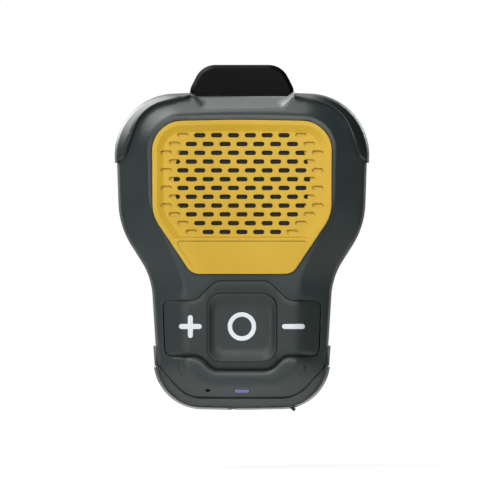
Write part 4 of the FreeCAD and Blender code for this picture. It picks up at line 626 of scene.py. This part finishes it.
# Faces between neighbouring columns of points, all round where closed
def strips(mesh, columns, closed, keep=None):
    made = [[mesh.verts.new(stand(*spot)) for spot in column] for column in columns]
    for k in range(len(made) if closed else len(made) - 1):
        after = (k + 1) % len(made)
        if keep is not None and not (keep[k] and keep[after]):
            continue
        for row in range(len(made[k]) - 1):
            mesh.faces.new((made[k][row], made[k][row + 1], made[after][row + 1], made[after][row]))


# How near to the new front a face of the frame's shell counts as its old skin
oldSkin = {"near": 0.35, "valleyReach": 1.5, "valleyUnder": 0.05,
           "shoulderReach": 1.4, "shoulderIn": 1.3, "shoulderLevel": 24.8}


# The rest of the housing is the frame's own shell without its front skin
def addInside(mesh, ends):
    rest, places = copyOf("front_shell")
    middles = np.array([tuple(f.calc_center_median()) for f in rest.faces]) * 1000

    def onSkin(places):
        spots, levels = places[:, [0, 2]], -places[:, 1]
        near = np.abs(levels - housingLevel(spots)) < oldSkin["near"]
        valley = np.abs(depth(spots, keypadLoop)) < oldSkin["valleyReach"]
        valley &= levels > frontLevel(spots) - oldSkin["valleyUnder"]
        shoulder = np.abs(depth(spots, ends)) < oldSkin["shoulderReach"]
        shoulder &= levels > oldSkin["shoulderLevel"]
        shoulder &= depth(spots, rimLoop) < oldSkin["shoulderIn"]
        hollow = np.abs(levels - recessLevel(spots)) < 3 * oldSkin["near"]
        hollow &= np.abs(spots[:, 0]) < recess["half"]
        return near | valley | shoulder | hollow

    skin = onSkin(places)
    centres = onSkin(middles)
    loose = [face for face, middle in zip(rest.faces, centres)
             if middle and all(skin[v.index] for v in face.verts)]
    bmesh.ops.delete(rest, geom=loose, context="FACES")
    data = bpy.data.meshes.new("inside")
    rest.to_mesh(data)
    rest.free()
    mesh.from_mesh(data)


def makeHousing():
    columns = shoulderRows(rimLoop, faceLoop, (housing["shoulder"], housing["crease"]),
                           housing["fillet"], housing["draft"])
    ends = np.array([(column[-1].x, column[-1].y) for column in columns])
    levels = housingLevel(ends)
    for column, level in zip(columns, levels):
        column[-1].z = level
    keep = [abs(x) >= recess["half"] - recess["border"] or up < 0 for x, up in rimLoop]
    lines = [ends, plateLoop, keypadLoop, lightHole, soundHole]
    lines += [trace(inset(keypadCorners, gap), housing["loopStep"])
              for gap in housing["valleyGaps"]]
    lines += [trace(inset(faceCorners, gap), housing["outlineStep"])
              for gap in housing["creaseGaps"] + housing["slopeGaps"]]
    back = [(recess["half"], 45), (-recess["half"], 45)]
    lines += [np.array([(x, up + lift) for x, up in recessEdge()] + back)
              for lift in recess["edgeLifts"]]
    lines.append(recessCrest)

    def region(spots):
        hollow = (np.abs(spots[:, 0]) < recess["half"]) & (spots[:, 1] > recess["frontUp"])
        inside = (depth(spots, ends) > 0) | hollow
        for hole in (plateLoop, keypadLoop, lightHole, soundHole, recessCrest):
            inside &= depth(spots, hole) < 0
        return inside

    def skirt(middles):
        inHole = np.max([depth(middles, hole) for hole in (lightHole, soundHole)], axis=0)
        keypadEnd = np.abs(depth(middles, keypadLoop)) < onLine
        keypadEnd &= np.abs(middles[:, 0]) > housing["keypadEnds"]
        return np.where((np.abs(inHole) < onLine) | keypadEnd, housing["holeWall"], 0)

    mesh = sheet({"lines": lines, "region": region, "height": housingLevel, "skirt": skirt,
                  "step": housing["gridStep"]})
    strips(mesh, columns, True, keep)
    addInside(mesh, ends)
    return mesh


housingPiece = piece("housing_front", makeHousing(), finishes["dark_shell"], "housing",
                     ["front_shell"])
print("housing front:", len(housingPiece.data.polygons), "faces")

# Keypad: wings flush with the housing, a collar and a dished centre key
keypad = {
    "gap": 0.03, "endGap": 0.2, "split": 0.04, "collarLap": 0.03, "wingGap": 0.03,
    "half": 9.3, "top": -11.3, "bottom": -29.6, "round": 3.9,
    "rimRise": 0.3, "rimRun": 0.35, "rimLevel": 32.4, "dishDepth": 1.1,
    "floor": [(7.1, -14.2, 2.6), (7.1, -26.0, 2.6)], "skirt": 1.8,
    "gridStep": 0.7, "loopStep": 0.5, "padStep": 0.6, "creaseStep": 0.8,
    "keyGaps": (0.12, 0.25, 0.4, 0.55, 0.8, 1.1, 1.5, 2.0, 2.5),
    "padGaps": (0.12, 0.3, 0.55, 0.9, 1.4),
}
marks = {
    "x": 13.72, "up": -20.18, "length": 6.1, "stroke": 1.37, "proud": 0.04, "depth": 0.2,
    "ringOuter": 3.8, "ringInner": 2.6, "ringPoints": 48,
    "loopStep": 0.2, "gridStep": 0.5, "ringStep": 0.6,
}
keyCorners = mirrored([(keypad["half"], keypad["top"], keypad["round"]),
                       (keypad["half"], keypad["bottom"], keypad["round"])])
keyLoop = trace(keyCorners, keypad["loopStep"])
floorLoop = trace(mirrored(keypad["floor"]), keypad["loopStep"])
padCorners = [(x - math.copysign(keypad["endGap"], x) if abs(x) > housing["keypadEnds"] else x,
               up, turn) for x, up, turn in inset(keypadCorners, keypad["gap"])]
padLoop = trace(padCorners, keypad["loopStep"])
keyHole = trace(inset(keyCorners, -keypad["split"]), keypad["loopStep"])


# A rounded rim, and a dish that falls to a flat floor
def keyLevel(spots):
    inside = depth(spots, keyLoop)
    rim = keypad["rimLevel"] - keypad["rimRise"] * (1 - fade(inside, 0, keypad["rimRun"]))
    past = np.maximum(inside - keypad["rimRun"], 0)
    short = np.maximum(-depth(spots, floorLoop), 0)
    share = past / np.maximum(past + short, 1e-6)
    sunk = 1.5 * share - 0.5 * share ** 3
    return rim - keypad["dishDepth"] * sunk


def makeKey():
    lines = [keyLoop, floorLoop]
    lines += [trace(inset(keyCorners, gap), keypad["loopStep"]) for gap in keypad["keyGaps"]]
    return sheet({"lines": lines, "step": keypad["gridStep"], "height": keyLevel,
                  "region": lambda spots: depth(spots, keyLoop) > 0,
                  "skirt": lambda middles: np.full(len(middles), keypad["skirt"])})


# The left wing (-1), the collar round the centre key (0) or the right wing (1)
def makePad(side):
    collarEnd = keypad["half"] + keypad["split"] + keypad["collarLap"]
    wingStart = collarEnd + keypad["wingGap"]
    lines = [padLoop, keyHole]
    lines += [trace(inset(padCorners, gap), keypad["padStep"]) for gap in keypad["padGaps"]]
    lines += [trace(inset(faceCorners, gap), keypad["creaseStep"])
              for gap in housing["creaseGaps"]]
    # An upright line is a loop of three corners that is almost flat
    lines += [np.array([(way * x, 0), (way * x, -40), (way * (x + 0.001), -20)])
              for x in (collarEnd, wingStart) for way in (-1, 1)]

    def region(spots):
        inside = depth(spots, padLoop) > 0
        if side == 0:
            return inside & (np.abs(spots[:, 0]) < collarEnd) & (depth(spots, keyHole) < 0)
        return inside & (spots[:, 0] * side > wingStart)

    def skirt(middles):
        walls = np.abs(middles[:, 0]) > housing["keypadEnds"]
        walls |= np.abs(depth(middles, keyHole)) < onLine
        return np.where(walls, keypad["skirt"], 0)

    return sheet({"lines": lines, "step": keypad["gridStep"], "height": frontLevel,
                  "region": region, "skirt": skirt})


# Printed signs follow the surface under them
def sign(name, x, bars, body, replaced):
    loops = []
    for along, across in bars:
        turn = min(along, across) - 0.005
        loop = trace(mirrored([(along, marks["up"] + across, turn),
                               (along, marks["up"] - across, turn)]), marks["loopStep"])
        loops.append(loop + np.array([x, 0]))
    mesh = sheet({
        "lines": loops, "step": marks["gridStep"],
        "region": lambda spots: np.max([depth(spots, loop) for loop in loops], axis=0) > 0,
        "height": lambda spots: frontLevel(spots) + marks["proud"],
        "skirt": lambda middles: np.full(len(middles), marks["depth"])})
    piece(name, mesh, finishes["white_print"], body, [replaced])


def makeRing():
    turns = np.linspace(0, 2 * math.pi, marks["ringPoints"] + 1)[:-1]
    loops = [np.stack([np.sin(turns) * radius, np.cos(turns) * radius + marks["up"]], axis=1)
             for radius in (marks["ringOuter"], marks["ringInner"])]
    return sheet({
        "lines": loops, "step": marks["ringStep"],
        "region": lambda spots: (depth(spots, loops[0]) > 0) & (depth(spots, loops[1]) < 0),
        "height": lambda spots: keyLevel(spots) + marks["proud"],
        "skirt": lambda middles: np.full(len(middles), marks["depth"])})


piece("ring_print", makeRing(), finishes["white_print"], "play", ["ring_mark"])
piece("centre_key_cap", makeKey(), finishes["key_plastic"], "play", ["centre_key"])
piece("keypad_collar", makePad(0), finishes["key_rubber"], "housing", ["keypad_mat"])
piece("volume_up_cap", makePad(-1), finishes["key_plastic"], "volume_up",
      ["volume_up_key"])
piece("volume_down_cap", makePad(1), finishes["key_plastic"], "volume_down",
      ["volume_down_key"])
levelBar = (marks["length"] / 2, marks["stroke"] / 2)
uprightBar = (marks["stroke"] / 2, marks["length"] / 2)
sign("plus_print", -marks["x"], [levelBar, uprightBar], "volume_up", "plus_mark")
sign("minus_print", marks["x"], [levelBar], "volume_down", "minus_mark")
print("keypad ready")

# Top bumpers: a rubber skin with a bead along its sloped inner edge
bumper = {
    "proud": 0.6, "lift": 0.35, "fillet": 1.9, "wallRise": 1.7, "extraRise": 3.2, "round": 0.25,
    "bound": [(13.9, 48, 0.05), (40, 48, 0.05), (40, 20.36, 0.05), (30.7, 24.7, 2.5),
              (26.1, 37.5, 10), (13.9, 40.7, 0.05)],
    "cornerX": 8, "cornerUp": 15, "turnUp": 20, "back": 19.0, "flare": 0.5, "sunk": 0.08,
    "wallSkirt": 0.5, "wallReach": 0.05, "filletRows": 8,
    "thickness": 0.8, "under": 0.8, "behind": 1, "closing": [(-9, 2), (10, 30)], "halfWidth": 35,
    "boundStep": 0.4, "wallStep": 0.5, "gridStep": 0.9,
    "wallGaps": (0.1, 0.25, 0.45, 0.7, 1.0, 1.4, 2.0),
}
bumperLevels = (housing["shoulder"] + bumper["lift"],
                housing["crease"] + bumper["lift"] + bumper["extraRise"])
bumperOuter = trace(inset(outline, housing["draft"] - bumper["proud"]), counts)
bumperFace = trace(inset(faceCorners, -0.5 * bumper["proud"]), counts)
boundLoop = trace(bumper["bound"], bumper["boundStep"])


# Slopes up from the rim to a crest, then a wall drops to the facet
def bumperLevel(spots):
    inner = np.maximum(depth(spots, boundLoop), 0)
    out = np.maximum(depth(spots, bumperOuter), 0)
    past = np.maximum(-depth(spots, bumperFace), 0)
    share = out / np.maximum(out + past, 1e-6)
    top = bumperLevels[0] + (bumperLevels[1] - bumperLevels[0]) * share
    wall = facetLevel(spots)[0] - bumper["sunk"] + bumper["wallRise"] * inner
    return softLeast(top, wall, bumper["round"])


# The rim round the right corner and the matching line of the face, cut at the bumper's ends
def cornerLines():
    order = np.flatnonzero((bumperOuter[:, 0] > bumper["cornerX"])
                           & (bumperOuter[:, 1] > bumper["cornerUp"]))
    turns = np.arctan2(bumperOuter[order, 1] - bumper["turnUp"],
                       bumperOuter[order, 0] - bumper["cornerX"])
    order = order[np.argsort(-turns, kind="stable")]
    rim, inner = bumperOuter[order], bumperFace[order]
    inside = depth(rim, boundLoop)
    kept = np.flatnonzero(inside > 0)
    first, last = kept[0], kept[-1]
    cuts = [(near, far, inside[near] / (inside[near] - inside[far]))
            for near, far in ((first, first - 1), (last, last + 1))]
    for line in (rim, inner):
        start, end = (line[near] + (line[far] - line[near]) * share for near, far, share in cuts)
        yield np.vstack([start, line[kept], end])


# The rows of the shoulder, with a foot that stands out a little behind them
def bumperColumns(rim, inner):
    columns = shoulderRows(rim, inner, bumperLevels, bumper["fillet"], housing["draft"],
                           bumper["filletRows"])
    levels = bumperLevel(np.array([(column[-1].x, column[-1].y) for column in columns]))
    for column, level, spot, face in zip(columns, levels, rim, inner):
        column[-1].z = level
        flare = (face - spot) / np.linalg.norm(face - spot) * bumper["flare"]
        foot = Vector((column[0].x - flare[0], column[0].y - flare[1], bumper["back"]))
        column[:0] = [foot, foot.lerp(column[0], 0.5)]
    return columns


# The right bumper, or its mirror image. Two spots further in close the loop of its crest
def makeBumper(side):
    rim, inner = cornerLines()
    columns = bumperColumns(rim, inner)
    ends = np.array([(column[-1].x, column[-1].y) for column in columns])
    (stepX, stepUp), corner = bumper["closing"]
    closing = np.vstack([ends, [(ends[-1][0] + stepX, ends[-1][1] + stepUp), corner]])
    lines = [boundLoop, closing]
    lines += [trace(inset(bumper["bound"], gap), bumper["wallStep"])
              for gap in bumper["wallGaps"]]

    def region(spots):
        inside = (depth(spots, boundLoop) > 0) & (depth(spots, closing) > 0)
        return inside & (np.abs(spots[:, 0]) < bumper["halfWidth"])

    def skirt(middles):
        return np.where(depth(middles, boundLoop) < bumper["wallReach"], bumper["wallSkirt"], 0)

    mesh = sheet({"lines": lines, "step": bumper["gridStep"], "height": bumperLevel,
                  "region": region, "skirt": skirt})
    strips(mesh, columns, False)
    # Each end is closed by one face
    for column, face in ((columns[0], inner[0] - rim[0]), (columns[-1], inner[-1] - rim[-1])):
        deep = face / np.linalg.norm(face) * bumper["thickness"]
        foot, wall, crest = column[0], column[2], column[-1]
        ring = [(p.x, p.y, p.z) for p in column]
        ring += [(crest.x, crest.y, crest.z - bumper["under"]),
                 (wall.x + deep[0], wall.y + deep[1], wall.z - bumper["behind"]),
                 (foot.x + deep[0], foot.y + deep[1], foot.z)]
        mesh.faces.new([mesh.verts.new(stand(*spot)) for spot in ring])
    if side < 0:
        for v in mesh.verts:
            v.co.x = -v.co.x
        bmesh.ops.reverse_faces(mesh, faces=mesh.faces)
    return mesh


# A copy of a frame node with some of its points moved
def reshaped(name, moved):
    mesh, places = copyOf(name)
    for v, place in zip(mesh.verts, moved(places)):
        v.co = Vector(place) * 0.001
    return mesh


# The side grips' shape: pairs are where a change starts and over how much it grows
grip = {
    "outward": (22.5, 0.7), "topUp": -24.6, "topCut": 1.1, "endUp": -29.5, "endDrop": 0.5,
    "endSlant": 0.1, "lean": 0.12, "frontLean": 0.42, "leanFrom": (19.5, 6),
}


# Slanted ends, a lower end that meets the bumper, and an outer face that leans in to the front
def gripShape(places):
    x, y, z = places.T.copy()
    outward = portion(np.abs(x), *grip["outward"])
    top = np.where(z > grip["topUp"], grip["topCut"] * outward, 0)
    end = np.where(z < grip["endUp"], grip["endDrop"] - grip["endSlant"] * outward, 0)
    lean = grip["lean"] + grip["frontLean"] * portion(-y, *grip["leanFrom"])
    return np.stack([x - np.sign(x) * lean, y, z - top - end], axis=1)


lowBumper = {
    "proud": 0.45, "lower": 0.75, "lowerFrom": (25.5, 1.5),
    "outward": (22.2, 1.0), "endUp": -31.7, "endGrowth": 0.35, "endSlant": 0.65,
    "lugLeft": (-4.8, 0.9), "lugRight": (0.9, 0.9), "lugDrop": 0.45,
    "lugLevel": 25, "lugReach": 0.06, "lugUp": -41.8,
}


# Lower over the facets, with slanted upper ends. A lug hides the room where the cover turns
def lowBumperShape(places):
    x, y, z = places.T.copy()
    proud = -y - facetLevel(np.stack([x, z], axis=1))[0]
    y = y + np.where(proud > lowBumper["proud"],
                     lowBumper["lower"] * portion(-y, *lowBumper["lowerFrom"]), 0)
    outward = portion(np.abs(x), *lowBumper["outward"])
    growth = lowBumper["endGrowth"] - lowBumper["endSlant"] * outward
    z = z + np.where(z > lowBumper["endUp"], growth * (z - lowBumper["endUp"]), 0)
    lug = fade(x, *lowBumper["lugLeft"]) * fade(-x, *lowBumper["lugRight"])
    front = (np.abs(y + lowBumper["lugLevel"]) < lowBumper["lugReach"]) & (z < lowBumper["lugUp"])
    z = z - np.where(front, lowBumper["lugDrop"] * lug, 0)
    return np.stack([x, y, z], axis=1)


for name in ("left", "right"):
    piece("grip_rubber_" + name, reshaped("side_grip_" + name, gripShape),
          finishes["bumper_rubber"], "housing", ["side_grip_" + name])
piece("lower_rubber", reshaped("bottom_bumper", lowBumperShape), finishes["bumper_rubber"],
      "housing", ["bottom_bumper"])
for side, name in ((-1, "left"), (1, "right")):
    piece("corner_rubber_" + name, makeBumper(side), finishes["bumper_rubber"], "housing",
          ["top_bumper_" + name])
print("rubber ready")

# The spring rides on no body, with its place baked into its points
woundSpring = piece("wound_spring", copyOf("clip_spring")[0], finishes["steel"], None,
                    ["clip_spring"])
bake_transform(woundSpring)
print("spring ready")

# The picture's size, its scale at the housing's front, and the pixel that x = 0, z = 0 falls on
photo = {
    "width": 480, "metresPerPixel": 0.00026646, "middleX": 241.95, "middleY": 250.7,
    "distance": 5.0, "sharpDepth": -0.025, "sensor": 36.0, "clipEnd": 40.0,
}


def makeCamera():
    half = photo["width"] / 2
    x = (half - photo["middleX"]) * photo["metresPerPixel"]
    z = (photo["middleY"] - half) * photo["metresPerPixel"]
    lens = bpy.data.cameras.new("lens")
    lens.sensor_width = photo["sensor"]
    lens.lens = photo["sensor"] * photo["distance"] / (photo["width"] * photo["metresPerPixel"])
    lens.clip_end = photo["clipEnd"]
    camera = bpy.data.objects.new("camera", lens)
    camera.location = (x, photo["sharpDepth"] - photo["distance"], z)
    camera.rotation_euler = (math.radians(90), 0, 0)
    bpy.context.scene.collection.objects.link(camera)
    bpy.context.scene.camera = camera


# The open cover hangs below the bottom edge, so the floor stands clear of it
paper = {
    "reach": 3.0, "drop": 0.0155, "dark": (0.48, 0.48, 0.48, 1), "light": (0.52, 0.52, 0.52, 1),
    "cloudSize": 0.2, "rough": 0.9, "specular": 0.1,
    "seenGlow": (0.1, 0.9, 0.7, 1.0), "mirroredGlow": (0.07, 0.2, 1.3, 0.0),
}


def makeFloor():
    reach = paper["reach"]
    low = cadBox[0].z - paper["drop"]
    mesh = bpy.data.meshes.new("floor")
    flat = ((-reach, -reach), (reach, -reach), (reach, reach), (-reach, reach))
    mesh.from_pydata([(*corner, low) for corner in flat], [], [(0, 1, 2, 3)])
    floor = bpy.data.objects.new("floor", mesh)
    bpy.context.scene.collection.objects.link(floor)
    paint = Paint("floorPaper")
    camera = paint.node("LightPath", {}, {}, "Is Camera Ray")
    glossy = paint.node("LightPath", {}, {}, "Is Glossy Ray")
    shade = paint.blend(paint.noise(paper["cloudSize"]), paper["dark"], paper["light"])
    away = paint.node("VectorMath", {"operation": "LENGTH"}, {0: paint.place()}, "Value")
    share = camera * paint.ramp(away, *paper["seenGlow"])
    share += glossy * paint.ramp(away, *paper["mirroredGlow"])
    glow = paint.blend(share, (0, 0, 0, 1), (1, 1, 1, 1), False)
    mesh.materials.append(paint.finish({
        "Base Color": shade, "Roughness": paper["rough"], "Specular IOR Level": paper["specular"],
        "Emission Color": glow, "Emission Strength": 1.0}))
    floor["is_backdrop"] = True


studio = {
    "ambient": (0.03, 0.031, 0.033, 1), "sideGlow": 10.0, "glowSide": (-0.54, 0.4, 0.74),
    "sideBand": (0.66, 0.98), "backGlow": 0.35, "backBand": (0.75, 0.95),
}


# White to the camera, dim to the surfaces, and brighter in reflections from one side and behind
def makeWorld():
    world = bpy.data.worlds.new("studio")
    world.use_nodes = True
    bpy.context.scene.world = world
    paint = Paint("studio", world.node_tree)
    camera = paint.node("LightPath", {}, {}, "Is Camera Ray")
    glossy = paint.node("LightPath", {}, {}, "Is Glossy Ray")
    clear = paint.node("LightPath", {}, {}, "Is Transmission Ray")
    direction = paint.node("TexCoord", {}, {}, "Generated")
    behind = paint.node("SeparateXYZ", {}, {0: direction}, "Y")
    toSide = paint.node("VectorMath", {"operation": "DOT_PRODUCT"},
                        {0: direction, 1: studio["glowSide"]}, "Value")
    side = paint.ramp(toSide, *studio["sideBand"])
    seen = studio["sideGlow"] * side * side
    seen += studio["backGlow"] * paint.ramp(behind, *studio["backBand"])
    shown = (camera + clear).clip() + glossy * seen
    colour = paint.blend(shown, studio["ambient"], (1, 1, 1, 1), False)
    light = paint.node("Background", {}, {"Color": colour, "Strength": 1.0})
    paint.node("OutputWorld", {}, {"Surface": light})


lamps = {
    "frontHigh": {"place": (-0.32, -0.9, 0.7), "size": 0.3, "power": 7.4},
    "glint": {"place": (0, -0.5, 0.2), "size": 0.1, "power": 0.55},
    "glintRight": {"place": (0.13, -0.4, 0.12), "size": 0.06, "power": 0.4},
    "lowLeft": {"place": (-0.3, -0.4, 0), "size": 0.08, "power": 0.5},
    "backLeft": {"place": (-0.6, 1.1, 0.4), "size": 0.5, "power": 5.0},
    "backRight": {"place": (0.6, 1.1, 0.4), "size": 0.5, "power": 4.0},
}


# A square lamp that faces the origin
def makeLamp(name, look):
    lamp = bpy.data.lights.new(name, "AREA")
    lamp.size = look["size"]
    lamp.energy = look["power"]
    item = bpy.data.objects.new(name, lamp)
    item.location = look["place"]
    item.rotation_euler = (-Vector(look["place"])).to_track_quat("-Z", "Y").to_euler()
    bpy.context.scene.collection.objects.link(item)


makeCamera()
makeFloor()
makeWorld()
for name, look in lamps.items():
    makeLamp(name, look)
bpy.context.scene.view_settings.view_transform = "Standard"
print("studio ready")

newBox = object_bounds()
[[list(corner) for corner in box] for box in (cadBox, newBox)]
